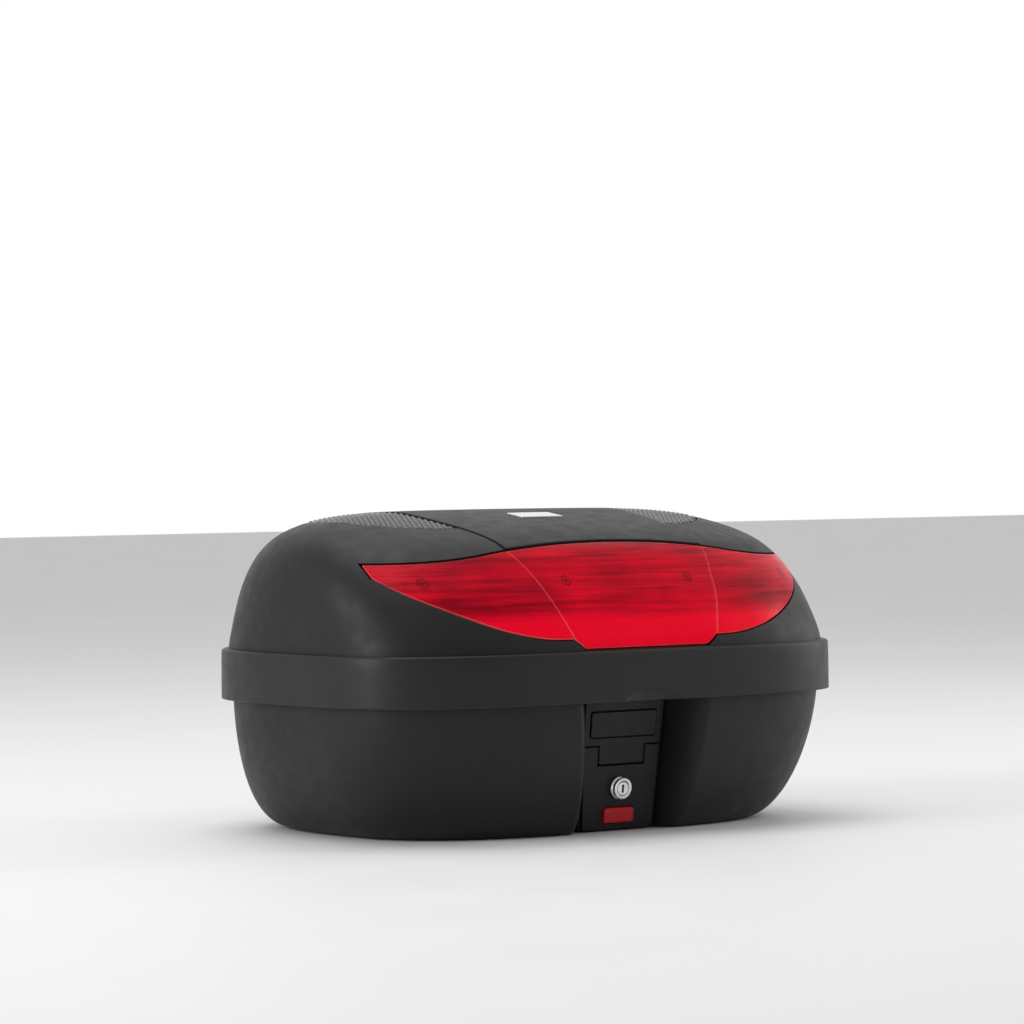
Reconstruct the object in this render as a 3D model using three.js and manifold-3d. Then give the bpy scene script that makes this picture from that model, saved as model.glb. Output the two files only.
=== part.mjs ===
// A motorcycle top case: a moulded tub, a hinged lid with a rim band and a three-piece
// reflector lens, and a latch column with a hasp, key lock and release button.
// Millimetres, +Z up, -Y is the latch side. The origin is the middle of the base.
import * as THREE from "three";
import { mergeVertices } from "three/addons/utils/BufferGeometryUtils.js";
import Module from "manifold-3d";

const wasm = await Module();
wasm.setup();

// ---- Driving dimensions ----
const HALF_WIDTH = 295; // rim band, from the middle to either side
const FRONT_REACH = 195.5; // rim band, from the widest section to the latch side
const BACK_REACH = 234.5; // rim band, from the widest section to the hinge side
const WIDEST_Y = -19.5; // where the widest section lies
const FRONT_POWER = 3.87; // how square the plan is at the latch side
const BACK_POWER = 3.19; // how square the plan is at the hinge side
const BAND_BOTTOM = 129;
const BAND_TOP = 178.5;
const TOP_Z = 311.8;
const WALL = 3;
const GAP = 0.3; // between pieces that touch

const TUB_INSET = 10.4; // tub wall behind the band's outer face
const BASE_HALF_WIDTH = 223.3;
const BASE_FRONT = 144.5;
const BASE_BACK = 193.9;
const BASE_POWER = 2.855;
const RIM_FLANGE_BOTTOM = 155;
const RIM_TOP = 160;
const FLANGE_INSET = 6;

const LID_INSET = 6.4;
const LID_BOTTOM = 164;
const APEX_POWER = 1.9; // how square the plan is at the top of the dome
const APEX_SHIFT = 36; // how far the top of the dome leans back
const APEX_SHIFT_POWER = 4.11;
// The lid's reach to the latch side: share of the height, share of the reach.
const LID_FRONT = [
  [0, 1], [0.11, 0.986], [0.36, 0.907], [0.54, 0.828], [0.73, 0.735],
  [0.8, 0.65], [0.86, 0.53], [0.92, 0.35], [0.97, 0.15], [1, 0],
];
const BAND_INSET = 3.5; // the band's inner face

const COLUMN_TILT = THREE.MathUtils.degToRad(7.18); // the latch column leans out at its top
const COLUMN_FOOT_Y = -155; // the column's face at Z = 0
const COLUMN_DEPTH = 15.28; // from the column's face to the floor of its recess

// ---- Small helpers ----
const mix = (a, b, k) => a + (b - a) * k;
const clamp01 = (k) => Math.min(1, Math.max(0, k));

// Straight-line interpolation through [x, y] pairs with rising x.
function along(points, x) {
  const last = points.length - 1;
  if (x <= points[0][0]) return points[0][1];
  for (let i = 0; i < last; i++) {
    const [x0, y0] = points[i];
    const [x1, y1] = points[i + 1];
    if (x <= x1) return mix(y0, y1, (x - x0) / (x1 - x0));
  }
  return points[last][1];
}

// A smooth curve through [x, y] pairs: a cubic over each span, sloped like its neighbours.
function through(points, x) {
  const last = points.length - 1;
  const slope = (i) => {
    const [x0, y0] = points[Math.max(i - 1, 0)];
    const [x1, y1] = points[Math.min(i + 1, last)];
    return (y1 - y0) / (x1 - x0);
  };
  const i = Math.max(0, Math.min(last, points.findIndex((p) => p[0] >= x)) - 1);
  const [x0, y0] = points[i];
  const [x1, y1] = points[i + 1];
  const t = clamp01((x - x0) / (x1 - x0));
  const bend = (x1 - x0) * t * (1 - t);
  return mix(y0, y1, t * t * (3 - 2 * t)) + bend * ((1 - t) * slope(i) - t * slope(i + 1));
}

function welded(geometry) {
  const bare = geometry.clone();
  bare.deleteAttribute("normal");
  bare.deleteAttribute("uv");
  return mergeVertices(bare, 1e-3);
}

function toSolid(geometry) {
  const g = welded(geometry);
  const mesh = new wasm.Mesh({
    numProp: 3,
    vertProperties: new Float32Array(g.attributes.position.array),
    triVerts: new Uint32Array(g.index.array),
  });
  return new wasm.Manifold(mesh);
}

function toGeometry(solid) {
  const mesh = solid.simplify(0.02).getMesh();
  const position = new THREE.BufferAttribute(new Float32Array(mesh.vertProperties), 3);
  return new THREE.BufferGeometry()
    .setAttribute("position", position)
    .setIndex(new THREE.BufferAttribute(new Uint32Array(mesh.triVerts), 1));
}

const cut = (geometry, ...tools) =>
  toGeometry(tools.reduce((solid, tool) => solid.subtract(toSolid(tool)), toSolid(geometry)));
const join = (geometry, ...more) =>
  toGeometry(more.reduce((solid, extra) => solid.add(toSolid(extra)), toSolid(geometry)));

// A box from its lowest to its highest corner.
function box(x0, y0, z0, x1, y1, z1) {
  return new THREE.BoxGeometry(x1 - x0, y1 - y0, z1 - z0).translate(
    (x0 + x1) / 2,
    (y0 + y1) / 2,
    (z0 + z1) / 2,
  );
}

// A cylinder along Y from y0 to y1.
function rodY(radius, x, z, y0, y1, sides = 16) {
  return new THREE.CylinderGeometry(radius, radius, y1 - y0, sides).translate(x, (y0 + y1) / 2, z);
}

// A cylinder along X from x0 to x1.
function rodX(radius, y, z, x0, x1, sides = 16) {
  return new THREE.CylinderGeometry(radius, radius, x1 - x0, sides)
    .rotateZ(Math.PI / 2)
    .translate((x0 + x1) / 2, y, z);
}

// A plate whose outline is drawn in X and Z, from y0 to y1.
function plateXZ(outline, y0, y1) {
  const shape = new THREE.Shape(outline.map(([x, z]) => new THREE.Vector2(x, z)));
  return new THREE.ExtrudeGeometry(shape, { depth: y1 - y0, bevelEnabled: false })
    .rotateX(Math.PI / 2)
    .translate(0, y1, 0);
}

// A bar whose outline is drawn in Y and Z, from x0 to x1.
function barYZ(outline, x0, x1) {
  const shape = new THREE.Shape(outline.map(([y, z]) => new THREE.Vector2(y, z)));
  return new THREE.ExtrudeGeometry(shape, { depth: x1 - x0, bevelEnabled: false })
    .rotateX(Math.PI / 2)
    .rotateZ(Math.PI / 2)
    .translate(x0, 0, 0);
}

// ---- The body's surface ----
// A section is { z, halfWidth, front, back, frontPower, backPower, shift }.
const eased = (start, end, power, k) =>
  start + (end - start) * Math.pow(1 - Math.pow(1 - k, power), 1 / power);

function tubSection(z, inset = 0) {
  const k = clamp01(z / BAND_BOTTOM);
  return {
    z,
    halfWidth: eased(BASE_HALF_WIDTH, HALF_WIDTH - TUB_INSET, 2.24, k) - inset,
    front: eased(BASE_FRONT, FRONT_REACH - TUB_INSET, 1.61, k) - inset,
    back: eased(BASE_BACK, BACK_REACH - TUB_INSET, 4.77, k) - inset,
    frontPower: mix(BASE_POWER, FRONT_POWER, k),
    backPower: mix(BASE_POWER, BACK_POWER, k),
    shift: 0,
  };
}

function lidSection(z, inset = 0) {
  const k = clamp01((z - BAND_TOP) / (TOP_Z - BAND_TOP));
  const fall = (reach, power, root) =>
    (reach - LID_INSET) * Math.pow(Math.max(1 - Math.pow(k, power), 1e-9), 1 / root);
  return {
    z,
    halfWidth: fall(HALF_WIDTH, 4.475, 5.447) - inset,
    front: (FRONT_REACH - LID_INSET) * Math.max(through(LID_FRONT, k), 1e-6) - inset,
    back: fall(BACK_REACH, 3.39, 4.05) - inset,
    frontPower: mix(FRONT_POWER, APEX_POWER, k),
    backPower: mix(BACK_POWER, APEX_POWER, k),
    shift: APEX_SHIFT * Math.pow(k, APEX_SHIFT_POWER),
  };
}

function bandSection(z, inset) {
  return {
    z,
    halfWidth: HALF_WIDTH - inset,
    front: FRONT_REACH - inset,
    back: BACK_REACH - inset,
    frontPower: FRONT_POWER,
    backPower: BACK_POWER,
    shift: 0,
  };
}

// The recess around the latch column: full depth inside `inner`, none beyond `outer`.
const recessInner = (z) => mix(48, 53, clamp01(z / BAND_BOTTOM));
const recessOuter = (z) => mix(66, 82, clamp01(z / BAND_BOTTOM));
const recessFloorY = (z) =>
  COLUMN_FOOT_Y - Math.tan(COLUMN_TILT) * z + COLUMN_DEPTH / Math.cos(COLUMN_TILT);

function frontY(s, x) {
  const share = Math.max(1 - Math.pow(Math.abs(x) / s.halfWidth, s.frontPower), 0);
  return WIDEST_Y + s.shift - s.front * Math.pow(share, 1 / s.frontPower);
}

// Columns of the grid: the recess and the latch side by X, then round to the back by angle.
const ZONE_INNER = [0, 0.5];
const ZONE_RECESS = [0, 0.12, 0.28, 0.48, 0.72];
const ZONE_FRONT = [0, 0.35, 0.7];
const CORNER_STEPS = 22;
const FRONT_END = 0.6; // of the half width, where the columns change from X to angle

function halfRing(s, recess) {
  const inner = recessInner(s.z) + (recess ? recess.offset : 0);
  const outer = recessOuter(s.z) + (recess ? recess.offset : 0);
  const end = FRONT_END * s.halfWidth;
  const stops = [0, Math.min(inner, end * 0.5), Math.min(outer, end * 0.8), end];
  const xs = [ZONE_INNER, ZONE_RECESS, ZONE_FRONT].flatMap((zone, i) =>
    zone.map((k) => mix(stops[i], stops[i + 1], k)),
  );
  const points = xs.map((x) => {
    const y = frontY(s, x);
    if (!recess) return [x, y];
    const k = clamp01((x - inner) / (outer - inner));
    const floor = recessFloorY(s.z) + Math.max(recess.offset, -1);
    return [x, mix(y, floor, (1 - k) * (1 - k))];
  });
  const startAngle = Math.atan2(frontY(s, end) - WIDEST_Y - s.shift, end);
  for (let i = 0; i <= CORNER_STEPS; i++) {
    const angle = mix(startAngle, Math.PI / 2, i / CORNER_STEPS);
    const c = Math.abs(Math.cos(angle));
    const n = angle < 0 ? s.frontPower : s.backPower;
    const reach = angle < 0 ? s.front : s.back;
    const deep = Math.pow(Math.abs(Math.sin(angle)) / reach, n);
    const r = Math.pow(Math.pow(c / s.halfWidth, n) + deep, -1 / n);
    points.push([r * c, WIDEST_Y + s.shift + r * Math.sin(angle)]);
  }
  return points;
}

// A whole ring of points at the section's height. `recess` adds the latch column's recess.
function ring(s, recess = null) {
  const right = halfRing(s, recess);
  const left = right.slice(1, -1).reverse().map(([x, y]) => [-x, y]);
  return [...right, ...left].map(([x, y]) => [x, y, s.z]);
}

// Joins rings of equal length into a closed skin. The ends are capped, or joined if `loop`.
function skin(rings, loop = false) {
  const count = rings[0].length;
  const positions = rings.flat(2);
  const index = [];
  const rows = rings.length;
  for (let r = 0; r < (loop ? rows : rows - 1); r++) {
    for (let i = 0; i < count; i++) {
      const a = r * count + i;
      const b = r * count + ((i + 1) % count);
      const c = ((r + 1) % rows) * count + i;
      const d = ((r + 1) % rows) * count + ((i + 1) % count);
      index.push(a, b, d, a, d, c);
    }
  }
  if (!loop) {
    [0, rows - 1].forEach((r) => {
      const middle = positions.length / 3;
      positions.push(0, WIDEST_Y, rings[r][0][2]);
      for (let i = 0; i < count; i++) {
        const a = r * count + i;
        const b = r * count + ((i + 1) % count);
        index.push(...(r === 0 ? [middle, b, a] : [middle, a, b]));
      }
    });
  }
  return facingOut(positions, index);
}

function facingOut(positions, index) {
  let volume = 0;
  const p = (i) => new THREE.Vector3(...positions.slice(3 * i, 3 * i + 3));
  for (let i = 0; i < index.length; i += 3)
    volume += p(index[i]).dot(p(index[i + 1]).cross(p(index[i + 2])));
  const order = volume < 0 ? index.map((_, i) => index[i - (i % 3) + 2 - (i % 3)]) : index;
  return new THREE.BufferGeometry()
    .setAttribute("position", new THREE.Float32BufferAttribute(positions, 3))
    .setIndex(order);
}

// ---- Patches on the lid ----
// Height of the lid above a plan position, by halving.
function lidZ(x, y) {
  let low = BAND_TOP + 1;
  let high = TOP_Z - 0.02;
  const inside = (z) => {
    const s = lidSection(z);
    const dy = y - WIDEST_Y - s.shift;
    const n = dy < 0 ? s.frontPower : s.backPower;
    const reach = dy < 0 ? s.front : s.back;
    return Math.pow(Math.abs(x) / s.halfWidth, n) + Math.pow(Math.abs(dy) / reach, n) < 1;
  };
  for (let i = 0; i < 40; i++) {
    const middle = (low + high) / 2;
    if (inside(middle)) low = middle;
    else high = middle;
  }
  return low;
}

const onFront = (x, z) => new THREE.Vector3(x, frontY(lidSection(z), x), z);
const onTop = (x, y) => new THREE.Vector3(x, y, lidZ(x, y));

// A curved slab between two offsets from the lid's surface. place(u, v) gives the surface
// point and outward(u, v) its normal; each offset may depend on u and v.
function patch(place, columns, rows, low, high, spread = (k) => k) {
  const step = 1e-3;
  const normal = (u, v) => {
    const u0 = Math.min(u, 1 - step);
    const v0 = Math.min(v, 1 - step);
    const du = place(u0 + step, v).sub(place(u0, v));
    const dv = place(u, v0 + step).sub(place(u, v0));
    const n = du.cross(dv).normalize();
    return n.z + -n.y > 0 ? n : n.negate();
  };
  const value = (offset, u, v) => (typeof offset === "function" ? offset(u, v) : offset);
  const layer = (offset) => {
    const points = [];
    for (let j = 0; j <= rows; j++)
      for (let i = 0; i <= columns; i++) {
        const u = spread(i / columns);
        const v = j / rows;
        points.push(place(u, v).addScaledVector(normal(u, v), value(offset, u, v)).toArray());
      }
    return points;
  };
  const positions = [...layer(low), ...layer(high)].flat();
  const size = (columns + 1) * (rows + 1);
  const at = (i, j, top) => top * size + j * (columns + 1) + i;
  const index = [];
  const quad = (a, b, c, d) => index.push(a, b, c, a, c, d);
  for (let j = 0; j < rows; j++)
    for (let i = 0; i < columns; i++) {
      quad(at(i, j, 1), at(i + 1, j, 1), at(i + 1, j + 1, 1), at(i, j + 1, 1));
      quad(at(i, j, 0), at(i, j + 1, 0), at(i + 1, j + 1, 0), at(i + 1, j, 0));
    }
  for (let i = 0; i < columns; i++) {
    quad(at(i, 0, 0), at(i + 1, 0, 0), at(i + 1, 0, 1), at(i, 0, 1));
    quad(at(i + 1, rows, 0), at(i, rows, 0), at(i, rows, 1), at(i + 1, rows, 1));
  }
  for (let j = 0; j < rows; j++) {
    quad(at(0, j + 1, 0), at(0, j, 0), at(0, j, 1), at(0, j + 1, 1));
    quad(at(columns, j, 0), at(columns, j + 1, 0), at(columns, j + 1, 1), at(columns, j, 1));
  }
  return facingOut(positions, index);
}

// The lens: upper and lower edges against distance from the middle, and the seams.
const LENS_UPPER = [
  [0, 281.5], [30, 281], [68, 279.5], [120, 275], [165, 268.8], [200, 265.5], [232, 264.2], [258, 264],
];
const LENS_LOWER = [
  [88, 190.5], [120, 192], [160, 200], [198, 214], [229, 229], [247, 241], [257.5, 252],
];
const LENS_CENTRE_BOTTOM = 181;
const LENS_TIP = 257.5;
const SEAM = [[190.5, 88], [226, 101.5], [250, 109.5], [276, 121]]; // height, distance
const CHAMFER = [[181, 75], [190.5, 88]]; // cuts the centre lens's lower corners
const SEAM_GAP = 0.35;
const CLEAR = 0.9; // round the lens in its opening

const lensUpper = (x) => along(LENS_UPPER, Math.abs(x));
const lensLower = (x) => along(LENS_LOWER, Math.abs(x));
const SEAM_TOP_Z = 275.4;

// `grow` moves the outline out; it is negative for a lens and positive for its opening.
function centreLensPlace(grow) {
  return (u, v) => {
    const edgeZ = mix(LENS_CENTRE_BOTTOM, SEAM_TOP_Z, v);
    const half = edgeZ < CHAMFER[1][0] ? along(CHAMFER, edgeZ) : along(SEAM, edgeZ);
    const x = (2 * u - 1) * (half + grow);
    return onFront(x, mix(LENS_CENTRE_BOTTOM - grow, lensUpper(x) + grow, v));
  };
}

function sideLensPlace(side, grow) {
  return (u, v) => {
    const seam = along(SEAM, mix(SEAM[0][0], SEAM_TOP_Z, v));
    const start = grow > 0 ? seam - 10 : seam - grow;
    const x = mix(start, LENS_TIP + grow, u);
    return onFront(side * x, mix(lensLower(x) - grow, lensUpper(x) + grow, v));
  };
}

// The tray behind the lens is a pan: shallow at its edge, deep inside.
const TRAY_EDGE = -7.2;
const TRAY_FLOOR = -9.5;
const TRAY_WALL = 2;
function trayPlace(u, v) {
  const x = (2 * u - 1) * (LENS_TIP + 3);
  const low = Math.abs(x) < CHAMFER[1][1] ? LENS_CENTRE_BOTTOM - 2 : lensLower(x) - 5;
  return onFront(x, mix(low, lensUpper(x) + 6, v));
}
function trayDepth(u, v) {
  const edge = Math.min(u, 1 - u) * 26;
  const rim = Math.min(v, 1 - v) * 8;
  return mix(TRAY_EDGE, TRAY_FLOOR, clamp01(Math.min(edge, rim) - 0.4));
}

// ---- Materials ----
const material = (color, roughness, metalness = 0) =>
  new THREE.MeshStandardMaterial({ color, roughness, metalness });
const SHELL = material(0x2b2b2c, 0.55);
const BAND = material(0x2f2f30, 0.5);
const LATCH = material(0x1c1c1d, 0.45);
const LENS = material(0xc8001e, 0.12);
const TRAY = material(0x3a0a0c, 0.5);
const PAD = material(0x3c3c3e, 0.35);
const CHROME = material(0xd8d8d8, 0.15, 1);
const STEEL = material(0x9a9a9c, 0.35, 1);
const RUBBER = material(0x141414, 0.85);
const BADGE = material(0xe6e6e8, 0.3);
const RED = material(0xc00c18, 0.35);

const model = new THREE.Group();
function add(name, geometry, surface, parent = model) {
  const mesh = new THREE.Mesh(geometry, surface);
  mesh.name = name;
  parent.add(mesh);
  return mesh;
}

// ---- Hinges at the back ----
const HINGE_Y = 222.5;
const HINGE_Z = 122;
const KNUCKLE = 5.5;
const HINGE_CENTRES = [-75, 75];
const HINGE_HALF = 20;
const KNUCKLE_HALF = 8.6;
const PIN_RADIUS = 2.4;
const PIN_BORE = 2.9;
const BAND_PAD_Y = 215.6;
const TUB_PAD_Y = 204.9;
const LEAF = 2.5;
const SCREW_OFFSET = 12; // hinge screws, either side of the hinge's middle
const UPPER_SCREW_Z = 152;
const LOWER_SCREW_Z = 86;
const SCREW_HOLE = 2.3;

const hingeScrewHoles = (z, y0, y1) =>
  HINGE_CENTRES.flatMap((centre) =>
    [-SCREW_OFFSET, SCREW_OFFSET].map((dx) => rodY(SCREW_HOLE, centre + dx, z, y0, y1, 12)),
  );

function upperLeaf(centre) {
  const face = BAND_PAD_Y + GAP;
  const plate = box(centre - HINGE_HALF, face, 131, centre + HINGE_HALF, face + LEAF, 168);
  const arm = barYZ(
    [
      [face, 134], [face, 127], [217.3, 122], [222.5, 122],
      [222.5, 127.4], [218.4, 131], [218.4, 134],
    ],
    centre - KNUCKLE_HALF,
    centre + KNUCKLE_HALF,
  );
  const knuckle = rodX(KNUCKLE, HINGE_Y, HINGE_Z, centre - KNUCKLE_HALF, centre + KNUCKLE_HALF, 20);
  const bore = rodX(PIN_BORE, HINGE_Y, HINGE_Z, centre - 30, centre + 30);
  return cut(join(plate, arm, knuckle), bore, ...hingeScrewHoles(UPPER_SCREW_Z, 200, 230));
}

function lowerLeaf(centre) {
  const face = TUB_PAD_Y + GAP;
  const gusset = barYZ(
    [
      [face, 72], [face + LEAF, 72], [face + LEAF, 98], [219, 112.5], [222.5, 116.5],
      [222.5, 122], [217.5, 120.5], [face + LEAF, 113], [face + LEAF, 116], [face, 116],
    ],
    centre - HINGE_HALF,
    centre + HINGE_HALF,
  );
  const knuckles = rodX(KNUCKLE, HINGE_Y, HINGE_Z, centre - HINGE_HALF, centre + HINGE_HALF, 20);
  const room = KNUCKLE_HALF + 0.4;
  const bay = rodX(KNUCKLE + 0.9, HINGE_Y, HINGE_Z, centre - room, centre + room, 20);
  const armBay = box(centre - room, 214, 116.5, centre + room, 224, 130);
  const bore = rodX(PIN_BORE, HINGE_Y, HINGE_Z, centre - 30, centre + 30);
  return cut(join(gusset, knuckles), bay, armBay, bore, ...hingeScrewHoles(LOWER_SCREW_Z, 190, 230));
}

const screwHead = (radius, x, z, y0, y1) => rodY(radius, x, z, y0, y1, 12);
function hingeScrew(x, z, faceY, depth) {
  const head = screwHead(4, x, z, faceY + GAP, faceY + GAP + 2.2);
  return join(head, rodY(1.9, x, z, faceY - depth, faceY + GAP + 0.5, 10));
}

// ---- The tub ----
const TUB_HEIGHTS = [0, 1.2, 4, 9, 17, 28, 44, 64, 86, 108, BAND_BOTTOM];
const TUB_INNER_HEIGHTS = [3, 8, 20, 44, 84, BAND_BOTTOM];
const LATCH_SCREWS = [[-42, 16], [42, 16], [-41, 104], [41, 104]]; // X and height up the column

// Places geometry drawn on the column's face: +Z runs up it and +Y goes inwards.
const columnMatrix = new THREE.Matrix4()
  .makeRotationX(COLUMN_TILT)
  .setPosition(0, COLUMN_FOOT_Y, 0);
const onColumn = (geometry) => geometry.applyMatrix4(columnMatrix);

function tub() {
  const recess = (offset) => ({ offset });
  const inner = TUB_INNER_HEIGHTS.map((z) => ring(tubSection(z, WALL), recess(WALL)));
  const rim = { ...tubSection(BAND_BOTTOM, WALL) };
  const outset = FLANGE_INSET - TUB_INSET;
  const flange = (z) => ring({ ...tubSection(BAND_BOTTOM, outset), z }, recess(outset));
  const rings = [
    ...inner,
    ring({ ...rim, z: RIM_TOP }, recess(WALL)),
    flange(RIM_TOP),
    flange(RIM_FLANGE_BOTTOM),
    ring({ ...tubSection(BAND_BOTTOM), z: RIM_FLANGE_BOTTOM - 3 }, recess(0)),
    ...TUB_HEIGHTS.map((z) => ring(tubSection(z), recess(0))).reverse(),
  ];
  const pads = HINGE_CENTRES.map((c) =>
    box(c - HINGE_HALF - 2, TUB_PAD_Y - 3.6, 70, c + HINGE_HALF + 2, TUB_PAD_Y, 118),
  );
  const screwHoles = LATCH_SCREWS.map(([x, z]) =>
    onColumn(rodY(SCREW_HOLE, x, z, COLUMN_DEPTH - 2, COLUMN_DEPTH + 8, 12)),
  );
  return cut(join(skin(rings), ...pads), ...screwHoles, ...hingeScrewHoles(LOWER_SCREW_Z, 190, 215));
}
add("lower_shell", tub(), SHELL);

function rimGasket() {
  const seal = (z, inset) =>
    ring({ ...tubSection(BAND_BOTTOM, inset - TUB_INSET), z }, { offset: inset - TUB_INSET });
  const bottom = RIM_TOP + GAP;
  const top = LID_BOTTOM - GAP;
  return skin([seal(bottom, 7), seal(top, 8), seal(top, 11), seal(bottom, 12)], true);
}
add("rim_gasket", rimGasket(), RUBBER);

// ---- The lid ----
const LID_HEIGHTS = [LID_BOTTOM, BAND_TOP, 196, 214, 232, 248, 262, 274, 284, 293, 300, 305, 308.6, 311];
const LID_INNER_HEIGHTS = [LID_BOTTOM, BAND_TOP, 208, 234, 256, 274, 288, 299, 305];
const LID_THICK = 3;

const lensRegion = (grow, low, high) => [
  patch(centreLensPlace(grow), 12, 8, low, high),
  patch(sideLensPlace(1, grow), 12, 5, low, high),
  patch(sideLensPlace(-1, grow), 12, 5, low, high),
];

function lid() {
  // The dome's inside is its outside, scaled towards the middle and lowered by the wall.
  const innerRing = (z) => {
    const rise = LID_THICK * clamp01((z - BAND_TOP) / 60);
    const s = lidSection(z + rise, LID_THICK);
    return ring({ ...s, z });
  };
  const rings = [
    ...LID_INNER_HEIGHTS.map(innerRing).reverse(),
    ...LID_HEIGHTS.map((z) => ring(lidSection(z))),
  ];
  return cut(skin(rings), ...lensRegion(CLEAR, -12, 8));
}
add("lid_shell", lid(), SHELL);

// The band wraps the joint. A finger scoop is pressed into its lower edge at the middle.
const SCOOP_REACH = [34, 8, 14]; // of the ellipsoid that presses it in
const SCOOP_CENTRE = [0, -219, 126];
function rimBand() {
  const ledge = BAND_TOP - 3.5;
  const rings = [
    ring(bandSection(BAND_BOTTOM, BAND_INSET)),
    ring(bandSection(BAND_BOTTOM, 0)),
    ring(bandSection(BAND_TOP - 2, 0.4)),
    ring(bandSection(BAND_TOP, 2)),
    ring(bandSection(BAND_TOP, LID_INSET - GAP)),
    ring(bandSection(ledge, LID_INSET - GAP)),
    ring(bandSection(ledge, BAND_INSET)),
  ];
  const scoop = new THREE.SphereGeometry(1, 24, 14).scale(...SCOOP_REACH).translate(...SCOOP_CENTRE);
  const scoopBack = box(-37, -213, BAND_BOTTOM, 37, -208.3, 144);
  const pads = HINGE_CENTRES.map((c) =>
    box(c - HINGE_HALF - 2, BAND_PAD_Y - 3.4, 129.6, c + HINGE_HALF + 2, BAND_PAD_Y, 170),
  );
  const holes = hingeScrewHoles(UPPER_SCREW_Z, 200, 225);
  return cut(join(skin(rings, true), scoopBack, ...pads), scoop, ...holes);
}
add("rim_band", rimBand(), BAND);

add("lens_centre", patch(centreLensPlace(-SEAM_GAP), 12, 8, -2.8, 0.8), LENS);
add("lens_right", patch(sideLensPlace(1, -SEAM_GAP), 14, 4, -2.8, 0.5), LENS);
add("lens_left", patch(sideLensPlace(-1, -SEAM_GAP), 14, 4, -2.8, 0.5), LENS);

// Screws hold the tray to bosses on the lenses; they show as dark spots through the red.
const LENS_SCREWS = [[-216, 244], [-72, 246], [72, 246], [216, 244]];
function lensScrew([x, z]) {
  const at = onFront(x, z);
  const outward = onFront(x + 1, z).sub(at).cross(onFront(x, z + 1).sub(at)).normalize();
  const turn = new THREE.Quaternion().setFromUnitVectors(new THREE.Vector3(0, 1, 0), outward);
  const place = (g) => g.applyQuaternion(turn).translate(at.x, at.y, at.z);
  const head = place(new THREE.CylinderGeometry(4.2, 4.2, 2.4, 12).translate(0, -14, 0));
  const shank = place(new THREE.CylinderGeometry(1.7, 1.7, 10, 10).translate(0, -9, 0));
  const hole = place(new THREE.CylinderGeometry(3, 3, 14, 10).translate(0, -9, 0));
  return { screw: join(head, shank), hole };
}
const lensScrews = LENS_SCREWS.map(lensScrew);
const tray = patch(trayPlace, 22, 6, (u, v) => trayDepth(u, v) - TRAY_WALL, trayDepth);
add("lens_tray", cut(tray, ...lensScrews.map((s) => s.hole)), TRAY);
lensScrews.forEach((s, i) => add(`lens_screw_${i + 1}`, s.screw, STEEL));

// The raised panel along the middle of the lid, its badge, and the textured side pads.
const PANEL_EDGE = [
  [-117, 120], [-86, 124], [-50, 128], [0, 132], [60, 136], [120, 134], [168, 122],
];
const PANEL_BACK = 168;
const panelFront = (x) => -124 + 3 * Math.pow(Math.abs(x) / 120, 2); // just above the lens
function panelPlace(u, v) {
  const k = 2 * u - 1;
  const y = mix(panelFront(k * 120), PANEL_BACK, v);
  return onTop(k * along(PANEL_EDGE, y), y);
}

const BADGE_HALF = [25.5, 13];
const BADGE_Y = -29;
function badgePlace(u, v) {
  return onTop((2 * u - 1) * BADGE_HALF[0], BADGE_Y + (2 * v - 1) * BADGE_HALF[1]);
}
add("badge_plate", patch(badgePlace, 4, 3, 2.6, 3.4), BADGE);

const PAD_FRONT = -75;
const PAD_BACK = 132;
const PAD_BULGE = 86;
function padPlace(side) {
  return (u, v) => {
    const y = mix(PAD_FRONT, PAD_BACK, v);
    const inner = along(PANEL_EDGE, y) + 3.5;
    const lean = Math.pow(clamp01(v), 0.8);
    const width = 5 + PAD_BULGE * Math.pow(Math.max(Math.sin(Math.PI * lean), 0), 0.75);
    return onTop(side * (inner + width * u), y);
  };
}
// A curved piece sits on the flat facets of the lid, so it is lifted a little at the top.
const lift = (most) => (u, v) => GAP + most * clamp01(2 * v);
add("centre_panel", patch(panelPlace, 10, 10, lift(1.7), 2.5), SHELL);
add("grip_pad_right", patch(padPlace(1), 5, 11, lift(0.8), 1.8), PAD);
add("grip_pad_left", patch(padPlace(-1), 5, 11, lift(0.8), 1.8), PAD);

HINGE_CENTRES.forEach((centre, i) => {
  const side = ["left", "right"][i];
  add(`hinge_leaf_upper_${side}`, upperLeaf(centre), LATCH);
  add(`hinge_leaf_lower_${side}`, lowerLeaf(centre), LATCH);
  const pinHalf = HINGE_HALF + 1;
  const pin = rodX(PIN_RADIUS, HINGE_Y, HINGE_Z, centre - pinHalf, centre + pinHalf);
  add(`hinge_pin_${side}`, pin, STEEL);
  [-SCREW_OFFSET, SCREW_OFFSET].forEach((dx, j) => {
    const x = centre + dx;
    const upperFace = BAND_PAD_Y + GAP + LEAF;
    const lowerFace = TUB_PAD_Y + GAP + LEAF;
    add(`hinge_screw_upper_${side}_${j + 1}`, hingeScrew(x, UPPER_SCREW_Z, upperFace, 8), STEEL);
    add(`hinge_screw_lower_${side}_${j + 1}`, hingeScrew(x, LOWER_SCREW_Z, lowerFace, 8), STEEL);
  });
});

// ---- The latch column ----
const column = new THREE.Group();
column.applyMatrix4(columnMatrix);
model.add(column);
const COLUMN_TOP = 126;
const FACE_HALF = (z) => mix(43, 48, z / COLUMN_TOP);
const HASP_DEPTH = 7.2;
const POCKET_DEPTH = 7.7;
const SHOULDER_Z = 84; // where the hasp's shoulders meet the housing
const TONGUE_Z = 66;
const TONGUE_HALF = 27.5;
const SLIT = 0.7; // between the hasp and the housing
const LOCK_Z = 42.3;
const BUTTON_Z = 15.5;
const BUTTON_HALF = [18.6, 7.7];

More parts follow.
